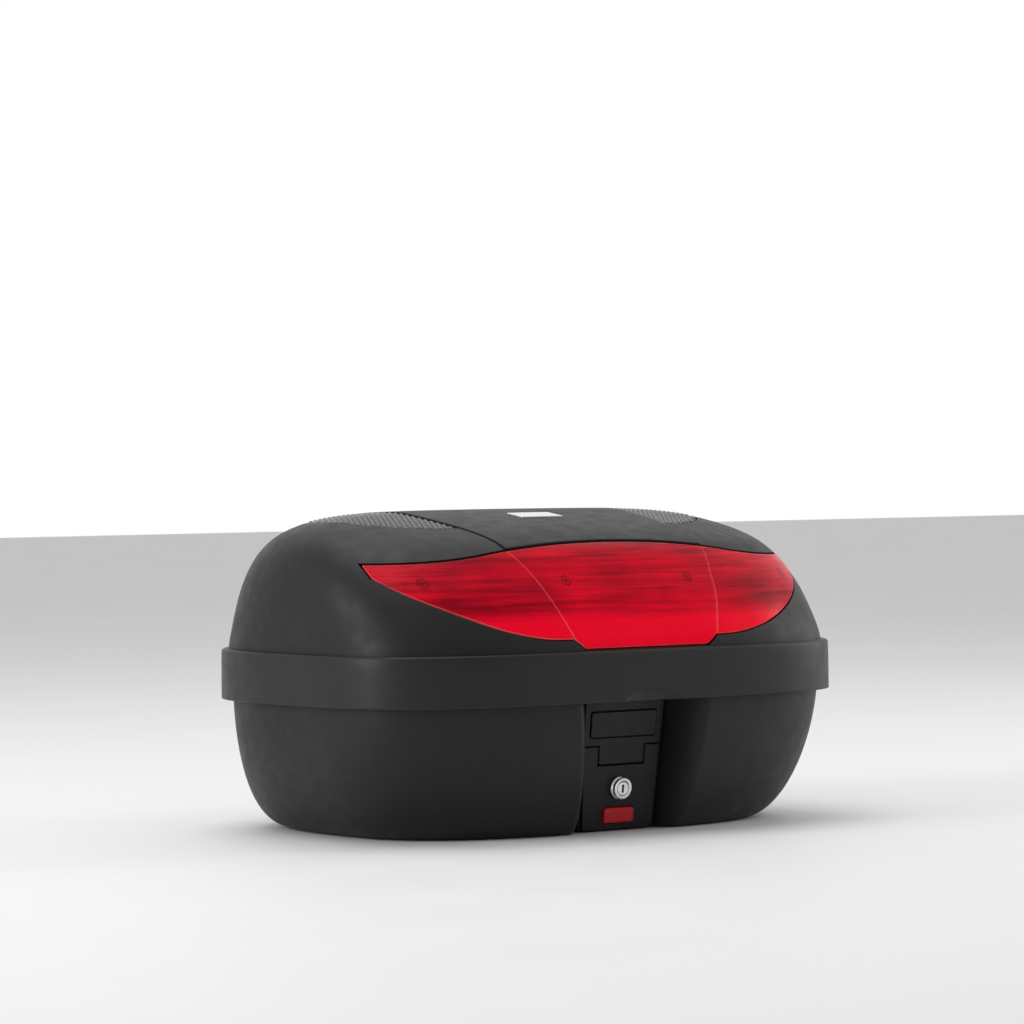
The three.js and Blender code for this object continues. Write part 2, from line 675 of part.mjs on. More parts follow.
const trapezoid = (z0, z1, widen) => [
  [-FACE_HALF(z0) - widen, z0],
  [FACE_HALF(z0) + widen, z0],
  [FACE_HALF(z1) + widen, z1],
  [-FACE_HALF(z1) - widen, z1],
];

function roundedRect(halfX, halfZ, centreZ, radius, steps = 3) {
  const corners = [[1, -1, -90], [1, 1, 0], [-1, 1, 90], [-1, -1, 180]];
  return corners.flatMap(([sx, sz, start]) =>
    Array.from({ length: steps + 1 }, (_, i) => {
      const a = THREE.MathUtils.degToRad(start + (90 * i) / steps);
      const x = sx * (halfX - radius) + radius * Math.cos(a);
      return [x, centreZ + sz * (halfZ - radius) + radius * Math.sin(a)];
    }),
  );
}

const BOLT_SLOT_Z = [70.4, 79.6];
function latchHousing() {
  const body = plateXZ(trapezoid(1, COLUMN_TOP, 3), 2, COLUMN_DEPTH - GAP);
  const face = plateXZ(trapezoid(1.5, SHOULDER_Z, 0), 0, 2.5);
  const haspPocket = box(-60, -5, SHOULDER_Z, 60, POCKET_DEPTH, 140);
  const haspRelief = box(-60, -5, 112, 60, POCKET_DEPTH + 0.9, 140);
  const bayHalf = TONGUE_HALF + SLIT;
  const tongueBay = box(-bayHalf, -5, TONGUE_Z - SLIT, bayHalf, POCKET_DEPTH, 100);
  const lockHole = rodY(9.6, 0, LOCK_Z, -5, 12, 20);
  const [buttonX, buttonZ] = BUTTON_HALF;
  const buttonHole = plateXZ(roundedRect(buttonX + 0.5, buttonZ + 0.5, BUTTON_Z, 3), -5, 12);
  const cavity = box(-37, 3.4, 6, 37, 20, 63);
  const catchSlot = box(-18.8, 5, -5, 18.8, 12, 12);
  const boltBay = box(2, 8.7, 53, 41, 20, 80);
  const boltWindow = box(TONGUE_HALF - 2, 3.1, BOLT_SLOT_Z[0], 41, 12, BOLT_SLOT_Z[1]);
  const screws = LATCH_SCREWS.map(([x, z]) => rodY(SCREW_HOLE, x, z, 8.5, 20, 12));
  const bays = [haspPocket, haspRelief, tongueBay, cavity, catchSlot, boltBay, boltWindow];
  return cut(join(body, face), ...bays, lockHole, buttonHole, ...screws);
}
add("latch_housing", latchHousing(), LATCH, column);

LATCH_SCREWS.forEach(([x, z], i) => {
  const inside = COLUMN_DEPTH + WALL / Math.cos(COLUMN_TILT);
  const head = rodY(4.4, x, z, inside + 0.5, inside + 3, 12);
  add(`latch_screw_${i + 1}`, join(head, rodY(1.9, x, z, 9.2, inside + 1, 10)), STEEL, column);
});

// The lock: a flanged barrel, a plug with a key slot, and a cam on the plug's square tail.
function lathe(points, sides = 24) {
  return new THREE.LatheGeometry(points.map(([r, y]) => new THREE.Vector2(r, y)), sides);
}
const BARREL_OUTLINE = [
  [7.2, 11], [7.2, -5.6], [8, -6.6], [10.2, -6.6], [10.8, -6], [10.8, -5], [9.2, -4.2], [9.4, -2.2],
  [11.5, -1.5], [11.5, -GAP], [9.2, -GAP], [9.2, 11], [7.2, 11],
];
const lockBarrel = lathe(BARREL_OUTLINE);
add("lock_barrel", lockBarrel.translate(0, 0, LOCK_Z), CHROME, column);

function lockPlug() {
  const plug = lathe([[0, -6.2], [6.3, -6.2], [6.85, -5.6], [6.85, 11.2], [0, 11.2]], 20);
  const slot = box(-1.1, -10, -3.6, 1.1, 3, 3.6);
  const tail = box(-3, 11, -3, 3, 14.4, 3);
  return cut(join(plug, tail), slot);
}
const lockPlugMesh = add("lock_plug", lockPlug().translate(0, 0, LOCK_Z), CHROME, column);
const camPlate = plateXZ([[-5, -5.5], [5, -5.5], [6, 0], [3.5, 13.5], [-3.5, 13.5], [-6, 0]], 11.6, 14.1);
const lockCam = cut(camPlate, box(-3.3, 0, -3.3, 3.3, 20, 3.3));
add("lock_cam", lockCam.translate(0, 0, LOCK_Z), STEEL, column);

// The bolt slides sideways into the hasp's tongue when the key is turned.
const latchBolt = join(
  box(10, 9.2, 57, 38.5, 11.2, 78.4),
  box(35, 3.5, 71, 38.5, 10, 78.4),
  box(29.2, 3.5, 71, 38.5, 5.6, 78.4),
);
add("latch_bolt", latchBolt, STEEL, column);

// The release button, its spring, and the forked catch that rides behind it.
function releaseButton() {
  const cap = plateXZ(roundedRect(BUTTON_HALF[0], BUTTON_HALF[1], BUTTON_Z, 3), -3, 4);
  const collar = plateXZ(roundedRect(BUTTON_HALF[0] + 2, BUTTON_HALF[1] + 1, BUTTON_Z, 2), 3.9, 5.4);
  return join(cap, collar);
}
add("release_button", releaseButton(), RED, column);

class Helix extends THREE.Curve {
  constructor(radius, turns, start, end) {
    super();
    Object.assign(this, { radius, turns, start, end });
  }
  getPoint(t, target = new THREE.Vector3()) {
    const a = t * this.turns * 2 * Math.PI;
    return target.set(this.radius * Math.cos(a), mix(this.start, this.end, t), this.radius * Math.sin(a));
  }
}
const WIRE_RADIUS = 0.5;
const WIRE_SIDES = 6;
const wire = new THREE.Shape(
  Array.from({ length: WIRE_SIDES }, (_, i) => {
    const a = (2 * Math.PI * i) / WIRE_SIDES;
    return new THREE.Vector2(WIRE_RADIUS * Math.cos(a), WIRE_RADIUS * Math.sin(a));
  }),
);
const springPath = new Helix(4, 4, 6.4, COLUMN_DEPTH - 0.9);
const springShape = { steps: 30, extrudePath: springPath, bevelEnabled: false };
const spring = new THREE.ExtrudeGeometry(wire, springShape);
add("button_spring", spring.translate(0, 0, BUTTON_Z), STEEL, column);

const CATCH_OUTLINE = [
  [-18, 3], [-10, 3], [-10, 26], [10, 26], [10, 3], [18, 3], [18, 31.5], [-18, 31.5],
];
add("release_catch", plateXZ(CATCH_OUTLINE, 5.7, 7.5), STEEL, column);

// ---- The hasp, hung on a pin in a housing under the lid ----
const HASP_PIVOT = [4, 148.5]; // in and up, on the column
const HASP_KNUCKLE = 5.4;
const HASP_NECK_HALF = 40;
const HASP_NECK_Z = 126;
const HASP_PIN = 2;
function hasp() {
  const half = FACE_HALF(SHOULDER_Z);
  const chamfer = 3;
  const outline = [
    [-half, SHOULDER_Z + SLIT],
    [-TONGUE_HALF, SHOULDER_Z + SLIT],
    [-TONGUE_HALF, TONGUE_Z + chamfer],
    [-TONGUE_HALF + chamfer, TONGUE_Z],
    [TONGUE_HALF - chamfer, TONGUE_Z],
    [TONGUE_HALF, TONGUE_Z + chamfer],
    [TONGUE_HALF, SHOULDER_Z + SLIT],
    [half, SHOULDER_Z + SLIT],
    [FACE_HALF(HASP_NECK_Z), HASP_NECK_Z],
    [HASP_NECK_HALF, HASP_NECK_Z + 3],
    [HASP_NECK_HALF, HASP_PIVOT[1]],
    [-HASP_NECK_HALF, HASP_PIVOT[1]],
    [-HASP_NECK_HALF, HASP_NECK_Z + 3],
    [-FACE_HALF(HASP_NECK_Z), HASP_NECK_Z],
  ];
  const plate = plateXZ(outline, 0, HASP_DEPTH);
  const raised = plateXZ(roundedRect(40, 12.5, 105.5, 2), -1.2, 1);
  const knuckle = rodX(HASP_KNUCKLE, ...HASP_PIVOT, -HASP_NECK_HALF, HASP_NECK_HALF, 20);
  const bore = rodX(HASP_PIN + 0.5, ...HASP_PIVOT, -60, 60);
  const boltSlot = box(21.4, 3, BOLT_SLOT_Z[0], 40, 6.1, BOLT_SLOT_Z[1]);
  return cut(join(plate, raised, knuckle), bore, boltSlot);
}
add("hasp", hasp(), LATCH, column);
add("hasp_pin", rodX(HASP_PIN, ...HASP_PIVOT, -46.5, 46.5), STEEL, column);

const pivot = new THREE.Vector3(0, ...HASP_PIVOT).applyMatrix4(columnMatrix);
function haspHousing() {
  const bottom = LID_BOTTOM + GAP;
  const top = 176;
  const back = -156.4;
  const front = -204.3;
  const block = box(-57, front, bottom, 57, back, top);
  const hollow = box(-54, front - 5, bottom - 5, 54, back - WALL, top - WALL);
  const lugs = [-1, 1].map((side) => {
    const x = [41 * side, 45.6 * side].sort((a, b) => a - b);
    const outline = [
      [pivot.y - 6, top - 1], [pivot.y - 6, pivot.z - 5], [pivot.y + 5, pivot.z - 5],
      [pivot.y + 5, bottom], [back - 1, bottom], [back - 1, top - 1],
    ];
    return barYZ(outline, ...x);
  });
  const bore = rodX(HASP_PIN + 0.5, pivot.y, pivot.z, -60, 60);
  return cut(join(cut(block, hollow), ...lugs), bore);
}
add("hasp_housing", haspHousing(), LATCH);

export default model;
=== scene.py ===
"""A motorcycle top case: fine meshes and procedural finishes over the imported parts.

Shapes are worked out in millimetres in the part's own frame: +Z up, -Y the latch side, the
origin in the middle of the base. They become metres when a mesh is made.
"""

import math

import bmesh
import bpy
import numpy as np
from mathutils import Matrix, Quaternion, Vector

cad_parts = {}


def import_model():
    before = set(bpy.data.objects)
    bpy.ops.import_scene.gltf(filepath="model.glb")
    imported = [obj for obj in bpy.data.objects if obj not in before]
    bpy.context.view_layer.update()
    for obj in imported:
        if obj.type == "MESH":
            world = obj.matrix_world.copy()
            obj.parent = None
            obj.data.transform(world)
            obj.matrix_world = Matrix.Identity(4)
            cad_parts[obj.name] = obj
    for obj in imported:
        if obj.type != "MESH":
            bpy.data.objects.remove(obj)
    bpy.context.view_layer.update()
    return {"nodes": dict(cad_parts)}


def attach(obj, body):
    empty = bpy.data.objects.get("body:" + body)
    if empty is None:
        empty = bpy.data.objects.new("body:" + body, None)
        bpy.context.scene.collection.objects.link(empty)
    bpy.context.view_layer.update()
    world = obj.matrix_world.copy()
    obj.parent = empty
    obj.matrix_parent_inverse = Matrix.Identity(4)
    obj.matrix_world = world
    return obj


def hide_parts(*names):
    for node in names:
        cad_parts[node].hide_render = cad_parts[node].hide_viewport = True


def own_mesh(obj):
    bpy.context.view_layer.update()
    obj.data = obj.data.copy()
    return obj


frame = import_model()
MM = 0.001

# ---- Driving dimensions, the same as the part's ----
HALF_WIDTH, FRONT_REACH, BACK_REACH = 295.0, 195.5, 234.5
WIDEST_Y = -19.5
FRONT_POWER, BACK_POWER = 3.87, 3.19
BAND_BOTTOM, BAND_TOP, TOP_Z = 129.0, 178.5, 311.8
WALL = 3.0
TUB_INSET, LID_INSET, BAND_INSET = 10.4, 6.4, 3.5
BASE_HALF_WIDTH, BASE_FRONT, BASE_BACK, BASE_POWER = 223.3, 144.5, 193.9, 2.855
FLANGE_BOTTOM, RIM_TOP, FLANGE_INSET = 155.0, 160.0, 6.0
LID_BOTTOM = 164.0
APEX_POWER, APEX_SHIFT, APEX_SHIFT_POWER = 1.9, 36.0, 4.11
# The lid's reach to the latch side: share of the height, share of the reach.
LID_FRONT = (
    (0, 1), (0.11, 0.986), (0.36, 0.907), (0.54, 0.828), (0.73, 0.735),
    (0.8, 0.65), (0.86, 0.53), (0.92, 0.35), (0.97, 0.15), (1, 0),
)
COLUMN_TILT = math.radians(7.18)
COLUMN_FOOT_Y = -155.0
COLUMN_DEPTH = 15.28
GASKET_GAP = 0.3


def mix(a, b, k):
    return a + (b - a) * k


def clamp(k):
    return np.clip(k, 0.0, 1.0)


def through(points, x):
    """A smooth curve through (x, y) points with rising x."""
    px = np.array([p[0] for p in points], float)
    py = np.array([p[1] for p in points], float)
    ends = np.clip(np.arange(len(px))[:, None] + (-1, 1), 0, len(px) - 1)
    slope = np.diff(py[ends])[:, 0] / np.diff(px[ends])[:, 0]
    x = np.clip(np.asarray(x, float), px[0], px[-1])
    i = np.clip(np.searchsorted(px, x) - 1, 0, len(px) - 2)
    width = px[i + 1] - px[i]
    t = (x - px[i]) / width
    rise = slope[i] * width * (t**3 - 2 * t**2 + t) + slope[i + 1] * width * (t**3 - t**2)
    return py[i] * (2 * t**3 - 3 * t**2 + 1) + py[i + 1] * (3 * t**2 - 2 * t**3) + rise


# ---- The body's surface ----
def eased(start, end, power, k):
    return start + (end - start) * (1 - (1 - k) ** power) ** (1 / power)


def tub_section(z, inset=0.0):
    k = clamp(z / BAND_BOTTOM)
    return {
        "z": z,
        "half": eased(BASE_HALF_WIDTH, HALF_WIDTH - TUB_INSET, 2.24, k) - inset,
        "front": eased(BASE_FRONT, FRONT_REACH - TUB_INSET, 1.61, k) - inset,
        "back": eased(BASE_BACK, BACK_REACH - TUB_INSET, 4.77, k) - inset,
        "front_power": mix(BASE_POWER, FRONT_POWER, k),
        "back_power": mix(BASE_POWER, BACK_POWER, k),
        "shift": 0.0,
    }


def lid_section(z, inset=0.0):
    k = clamp((z - BAND_TOP) / (TOP_Z - BAND_TOP))

    def fall(reach, power, root):
        return (reach - LID_INSET) * np.maximum(1 - k**power, 1e-9) ** (1 / root)

    return {
        "z": z,
        "half": fall(HALF_WIDTH, 4.475, 5.447) - inset,
        "front": (FRONT_REACH - LID_INSET) * np.maximum(through(LID_FRONT, k), 1e-6) - inset,
        "back": fall(BACK_REACH, 3.39, 4.05) - inset,
        "front_power": mix(FRONT_POWER, APEX_POWER, k),
        "back_power": mix(BACK_POWER, APEX_POWER, k),
        "shift": APEX_SHIFT * k**APEX_SHIFT_POWER,
    }


def band_section(z, inset):
    return {
        "z": z,
        "half": HALF_WIDTH - inset,
        "front": FRONT_REACH - inset,
        "back": BACK_REACH - inset,
        "front_power": FRONT_POWER,
        "back_power": BACK_POWER,
        "shift": 0.0,
    }


def front_y(s, x):
    share = np.maximum(1 - (np.abs(x) / s["half"]) ** s["front_power"], 0)
    return WIDEST_Y + s["shift"] - s["front"] * share ** (1 / s["front_power"])


def recess_floor(z):
    return COLUMN_FOOT_Y - math.tan(COLUMN_TILT) * z + COLUMN_DEPTH / math.cos(COLUMN_TILT)


INNER_STEPS, RECESS_STEPS, FRONT_STEPS, CORNER_STEPS = 24, 20, 18, 110
FRONT_END = 0.6  # of the half width, where the columns change from X to angle
RECESS_INNER = (48.0, 53.0)  # the recess is at full depth inside this X: at the base, at the band
RECESS_OUTER = (66.0, 82.0)  # and it has run out at this X


def half_ring(s, recess):
    """X and Y of the right half of a section. `recess` is how far its recess lies from the skin."""
    shift = 0.0 if recess is None else recess
    k = float(clamp(s["z"] / BAND_BOTTOM))
    inner = mix(*RECESS_INNER, k) + shift
    outer = mix(*RECESS_OUTER, k) + shift
    end = FRONT_END * s["half"]
    stops = [0, min(inner, end * 0.5), min(outer, end * 0.8), end]
    counts = [INNER_STEPS, RECESS_STEPS, FRONT_STEPS]
    zones = [np.linspace(stops[i], stops[i + 1], counts[i], endpoint=False) for i in range(3)]
    x = np.concatenate(zones)
    y = front_y(s, x)
    if recess is not None:
        blend = (1 - clamp((x - inner) / (outer - inner))) ** 2
        y = mix(y, recess_floor(s["z"]) + max(recess, -1.0), blend)
    start = math.atan2(front_y(s, end) - WIDEST_Y - s["shift"], end)
    angle = np.linspace(start, math.pi / 2, CORNER_STEPS)
    c = np.abs(np.cos(angle))
    n = np.where(angle < 0, s["front_power"], s["back_power"])
    reach = np.where(angle < 0, s["front"], s["back"])
    r = ((c / s["half"]) ** n + (np.abs(np.sin(angle)) / reach) ** n) ** (-1 / n)
    x = np.concatenate([x, r * c])
    y = np.concatenate([y, WIDEST_Y + s["shift"] + r * np.sin(angle)])
    return x, y


def ring(s, recess=None):
    """All the points of a section, at its height."""
    x, y = half_ring(s, recess)
    x = np.concatenate([x, -x[-2:0:-1]])
    y = np.concatenate([y, y[-2:0:-1]])
    return np.stack([x, y, np.full_like(x, s["z"])], axis=1)


# ---- The lid's height, with its ridge softened ----
GRID_STEP = 4.0
GRID_X = np.arange(-320, 320 + GRID_STEP, GRID_STEP)
GRID_Y = np.arange(-260, 260 + GRID_STEP, GRID_STEP)
SOFTEN = 4  # passes, each over the neighbouring grid points


def raw_lid_z(x, y):
    """Height of the lid above a plan position, by halving."""
    low = np.full(np.shape(x), BAND_TOP + 1.0)
    high = np.full(np.shape(x), TOP_Z - 0.001)
    for _ in range(36):
        z = (low + high) / 2
        s = lid_section(z)
        dy = y - WIDEST_Y - s["shift"]
        n = np.where(dy < 0, s["front_power"], s["back_power"])
        reach = np.where(dy < 0, s["front"], s["back"])
        inside = (np.abs(x) / s["half"]) ** n + (np.abs(dy) / reach) ** n < 1
        low = np.where(inside, z, low)
        high = np.where(inside, high, z)
    return low


def softened(z):
    """A grid of heights, each averaged again and again with its neighbours."""
    for _ in range(SOFTEN * 4):
        p = np.pad(z, 1, mode="edge")
        z = (p[:-2, 1:-1] + p[2:, 1:-1] + p[1:-1, :-2] + p[1:-1, 2:] + 4 * z) / 8
    return z


RAW = raw_lid_z(*np.meshgrid(GRID_X, GRID_Y, indexing="ij"))
SAG = softened(RAW) - RAW


def sag_at(x, y, z):
    """How far softening moves the surface up or down at a point."""
    gx = np.clip((x - GRID_X[0]) / GRID_STEP, 0, len(GRID_X) - 1.001)
    gy = np.clip((y - GRID_Y[0]) / GRID_STEP, 0, len(GRID_Y) - 1.001)
    i, j = gx.astype(int), gy.astype(int)
    u, v = gx - i, gy - j
    low = mix(SAG[i, j], SAG[i + 1, j], u)
    high = mix(SAG[i, j + 1], SAG[i + 1, j + 1], u)
    weight = clamp((z - 284) / 20)
    return mix(low, high, v) * weight * weight * (3 - 2 * weight)


def on_top(x, y):
    x, y = np.broadcast_arrays(np.asarray(x, float), np.asarray(y, float))
    z = raw_lid_z(x, y)
    return np.stack([x, y, z + sag_at(x, y, z)], axis=-1)


def on_front(x, z):
    x, z = np.broadcast_arrays(np.asarray(x, float), np.asarray(z, float))
    return np.stack([x, front_y(lid_section(z), x), z], axis=-1)


# ---- Meshes ----
def shade(mesh, angle=38):
    mesh.shade_smooth()
    mesh.set_sharp_from_angle(angle=math.radians(angle))


def piece(name, verts, faces, material, body, *nodes):
    """A mesh piece, its vertices in millimetres, that stands for CAD nodes."""
    mesh = bpy.data.meshes.new(name)
    mesh.from_pydata((np.asarray(verts, float) * MM).tolist(), [], faces)
    mesh.validate()
    face_outwards(mesh)
    shade(mesh)
    return finished(bpy.data.objects.new(name, mesh), material, body, nodes)


def finished(obj, material, body, nodes):
    if obj.name not in bpy.context.scene.collection.objects:
        bpy.context.scene.collection.objects.link(obj)
    obj.data.materials.clear()
    obj.data.materials.append(material)
    if body:
        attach(obj, body)
    if nodes:
        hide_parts(*nodes)
    return obj


def face_outwards(mesh):
    b = bmesh.new()
    b.from_mesh(mesh)
    bmesh.ops.remove_doubles(b, verts=b.verts, dist=1e-6)
    bmesh.ops.recalc_face_normals(b, faces=b.faces)
    b.to_mesh(mesh)
    b.free()


def skin(rings, loop=False):
    """Vertices and faces of rings joined in order, capped at both ends unless they loop."""
    rows, count = len(rings), len(rings[0])
    verts = np.concatenate(rings)
    steps = rows if loop else rows - 1
    faces = []
    for r in range(steps):
        a0, b0 = r * count, ((r + 1) % rows) * count
        for i in range(count):
            j = (i + 1) % count
            faces.append((a0 + i, a0 + j, b0 + j, b0 + i))
    if not loop:
        faces.append(tuple(range(count)))
        faces.append(tuple((rows - 1) * count + i for i in range(count)))
    return verts, faces


def edge_stops(length, count, edge):
    """Stops from 0 to 1, with three close ones at each end for a rounded edge."""
    near = np.array([0, 0.12, 0.4, 1.0]) * edge / length
    return np.concatenate([near, np.linspace(near[-1], 1 - near[-1], count)[1:-1], 1 - near[::-1]])


def slab(place, u, v, low, high, edge):
    """A closed slab that follows a surface, between two offsets, with its upper edges rounded.
    Returns its vertices and faces, and each vertex's distance to the outline."""
    uu, vv = np.meshgrid(u, v, indexing="ij")
    points = place(uu, vv)
    step = 1e-4
    u0, v0 = np.minimum(uu, 1 - step), np.minimum(vv, 1 - step)
    du = place(u0 + step, v0) - place(u0, v0)
    dv = place(u0, v0 + step) - place(u0, v0)
    normal = np.cross(du, dv)
    normal /= np.maximum(np.linalg.norm(normal, axis=-1, keepdims=True), 1e-12)
    normal *= np.where(normal[..., 2] - normal[..., 1] > 0, 1, -1)[..., None]
    across = np.linalg.norm(points[-1] - points[0], axis=-1)[None, :]
    up = np.linalg.norm(points[:, -1] - points[:, 0], axis=-1)[:, None]
    distance = np.minimum(np.minimum(uu, 1 - uu) * across, np.minimum(vv, 1 - vv) * up)
    k = clamp(distance / edge)
    rise = high - edge * (1 - np.sqrt(np.maximum(1 - (1 - k) ** 2, 0)))
    top = points + normal * rise[..., None]
    bottom = points + normal * low
    rows, columns = uu.shape
    size = rows * columns
    verts = np.concatenate([top.reshape(-1, 3), bottom.reshape(-1, 3)])
    at = np.arange(size).reshape(rows, columns)
    faces = []
    for i in range(rows - 1):
        for j in range(columns - 1):
            quad = (at[i, j], at[i + 1, j], at[i + 1, j + 1], at[i, j + 1])
            faces.append(tuple(map(int, quad)))
            faces.append(tuple(int(q) + size for q in reversed(quad)))
    border = [at[i, 0] for i in range(rows)]
    border += [at[-1, j] for j in range(1, columns)]
    border += [at[i, -1] for i in range(rows - 2, -1, -1)]
    border += [at[0, j] for j in range(columns - 2, 0, -1)]
    border = [int(b) for b in border]
    for a, b in zip(border, border[1:] + border[:1]):
        faces.append((a, b, b + size, a + size))
    return verts, faces, np.concatenate([distance.ravel(), np.zeros(size)])


def carve(obj, cutters):
    """Cuts closed shapes, given as (vertices, faces), out of a piece."""
    tools = []
    for i, (verts, faces) in enumerate(cutters):
        mesh = bpy.data.meshes.new(f"cutter_{i}")
        mesh.from_pydata((np.asarray(verts) * MM).tolist(), [], faces)
        face_outwards(mesh)
        tool = bpy.data.objects.new(f"cutter_{i}", mesh)
        bpy.context.scene.collection.objects.link(tool)
        tools.append(tool)
        cut = obj.modifiers.new(f"cut_{i}", "BOOLEAN")
        cut.operation = "DIFFERENCE"
        cut.solver = "EXACT"
        cut.object = tool
    bpy.context.view_layer.update()
    graph = bpy.context.evaluated_depsgraph_get()
    carved = bpy.data.meshes.new_from_object(obj.evaluated_get(graph))
    obj.modifiers.clear()
    obj.data = carved
    shade(carved, 30)
    for tool in tools:
        bpy.data.objects.remove(tool)


def merged(name, parts, material, body, *nodes):
    """One piece from several loose objects, each taken with its modifiers."""
    bpy.context.view_layer.update()
    graph = bpy.context.evaluated_depsgraph_get()
    b = bmesh.new()
    for part in parts:
        solid = part.evaluated_get(graph)
        mesh = bpy.data.meshes.new_from_object(solid)
        mesh.transform(part.matrix_world)
        b.from_mesh(mesh)
    mesh = bpy.data.meshes.new(name)
    b.to_mesh(mesh)
    b.free()
    for part in parts:
        bpy.data.objects.remove(part)
    shade(mesh)
    return finished(bpy.data.objects.new(name, mesh), material, body, nodes)


# ---- Materials ----
class Nodes:
    """A material's node tree, with short calls to add and join nodes."""

    def __init__(self, name):
        self.material = bpy.data.materials.new(name)
        self.material.use_nodes = True
        self.tree = self.material.node_tree
        self.shader = self.tree.nodes["Principled BSDF"]
        self.position = self.add("ShaderNodeTexCoord").outputs["Object"]

    def add(self, kind, **settings):
        node = self.tree.nodes.new(kind)
        for key, value in settings.items():
            setattr(node, key, value)
        return node

    def put(self, target, value):
        if isinstance(value, bpy.types.NodeSocket):
            self.tree.links.new(value, target)
        else:
            target.default_value = value

    def math(self, operation, a, b=0.0, c=0.0):
        node = self.add("ShaderNodeMath", operation=operation)
        for socket, value in zip(node.inputs, (a, b, c)):
            self.put(socket, value)
        return node.outputs[0]

    def noise(self, scale, detail=3.0, stretch=(1, 1, 1)):
        mapping = self.add("ShaderNodeMapping")
        self.put(mapping.inputs["Vector"], self.position)
        mapping.inputs["Scale"].default_value = stretch
        node = self.add("ShaderNodeTexNoise")
        self.put(node.inputs["Vector"], mapping.outputs[0])
        node.inputs["Scale"].default_value = scale
        node.inputs["Detail"].default_value = detail
        return node.outputs["Fac"]

    def spread(self, value, low, high, out_low, out_high):
        node = self.add("ShaderNodeMapRange")
        for i, v in enumerate((value, low, high, out_low, out_high)):
            self.put(node.inputs[i], v)
        return node.outputs[0]

    def blend(self, factor, a, b):
        node = self.add("ShaderNodeMix", data_type="RGBA")
        self.put(node.inputs["Factor"], factor)
        self.put(node.inputs[6], a)
        self.put(node.inputs[7], b)
        return node.outputs[2]

    def bump(self, height, strength, distance, under=None):
        node = self.add("ShaderNodeBump")
        node.inputs["Strength"].default_value = strength
        node.inputs["Distance"].default_value = distance
        self.put(node.inputs["Height"], height)
        if under is not None:
            self.put(node.inputs["Normal"], under)
        return node.outputs[0]

    def set(self, **values):
        for key, value in values.items():
            self.put(self.shader.inputs[key.replace("_", " ")], value)
        return self.material


def worn_edges(n, color, light, amount=0.5):
    """Lightens convex edges a little, as rubbed plastic and paint do."""
    pointy = n.add("ShaderNodeNewGeometry").outputs["Pointiness"]
    edge = n.spread(pointy, 0.52, 0.6, 0.0, amount)
    broken = n.math("MULTIPLY", edge, n.noise(120, 4))
    return n.blend(broken, color, light)


def grained_plastic(name, color, roughness, grain=900, depth=0.00012, strength=0.35):
    """Moulded plastic with a fine leather grain, faint mottling and rubbed edges."""
    n = Nodes(name)
    dark = (*[c * 0.94 for c in color], 1)
    light = (*[c * 1.1 for c in color], 1)
    tone = n.blend(n.noise(14, 5), dark, light)
    tone = n.blend(n.spread(n.noise(grain * 0.8, 2), 0.35, 0.7, 0, 0.35), tone, light)
    tone = worn_edges(n, tone, (*[min(c * 2.4, 1) for c in color], 1))
    fine = n.bump(n.noise(grain, 2), strength, depth)
    waves = n.bump(n.noise(9, 2), 0.05, 0.002, fine)
    rough = n.spread(n.noise(60, 4), 0.3, 0.7, roughness - 0.05, roughness + 0.06)
    return n.set(Base_Color=tone, Roughness=rough, Normal=waves, Specular_IOR_Level=0.32)


def metal(name, color, roughness, scale=(1, 1, 1)):
    """Plated metal with fine scratches and a little tarnish."""
    n = Nodes(name)
    scratches = n.noise(700, 3, scale)
    tarnish = n.spread(n.noise(90, 5), 0.4, 0.75, 0, 0.5)
    tone = n.blend(tarnish, (*color, 1), (*[c * 0.6 for c in color], 1))
    rough = n.spread(scratches, 0.3, 0.7, roughness * 0.7, roughness * 1.5)
    fine = n.bump(scratches, 0.08, 0.0001)
    return n.set(Base_Color=tone, Metallic=1.0, Roughness=rough, Normal=fine)


LENS_BOSSES = ((-222, 246), (-75, 246), (75, 246), (222, 246))  # X and Z, seen through the lens
RIB_PITCH = 1.7
SMOOTH_BELOW = 207  # the lower part of the lens has no ribs


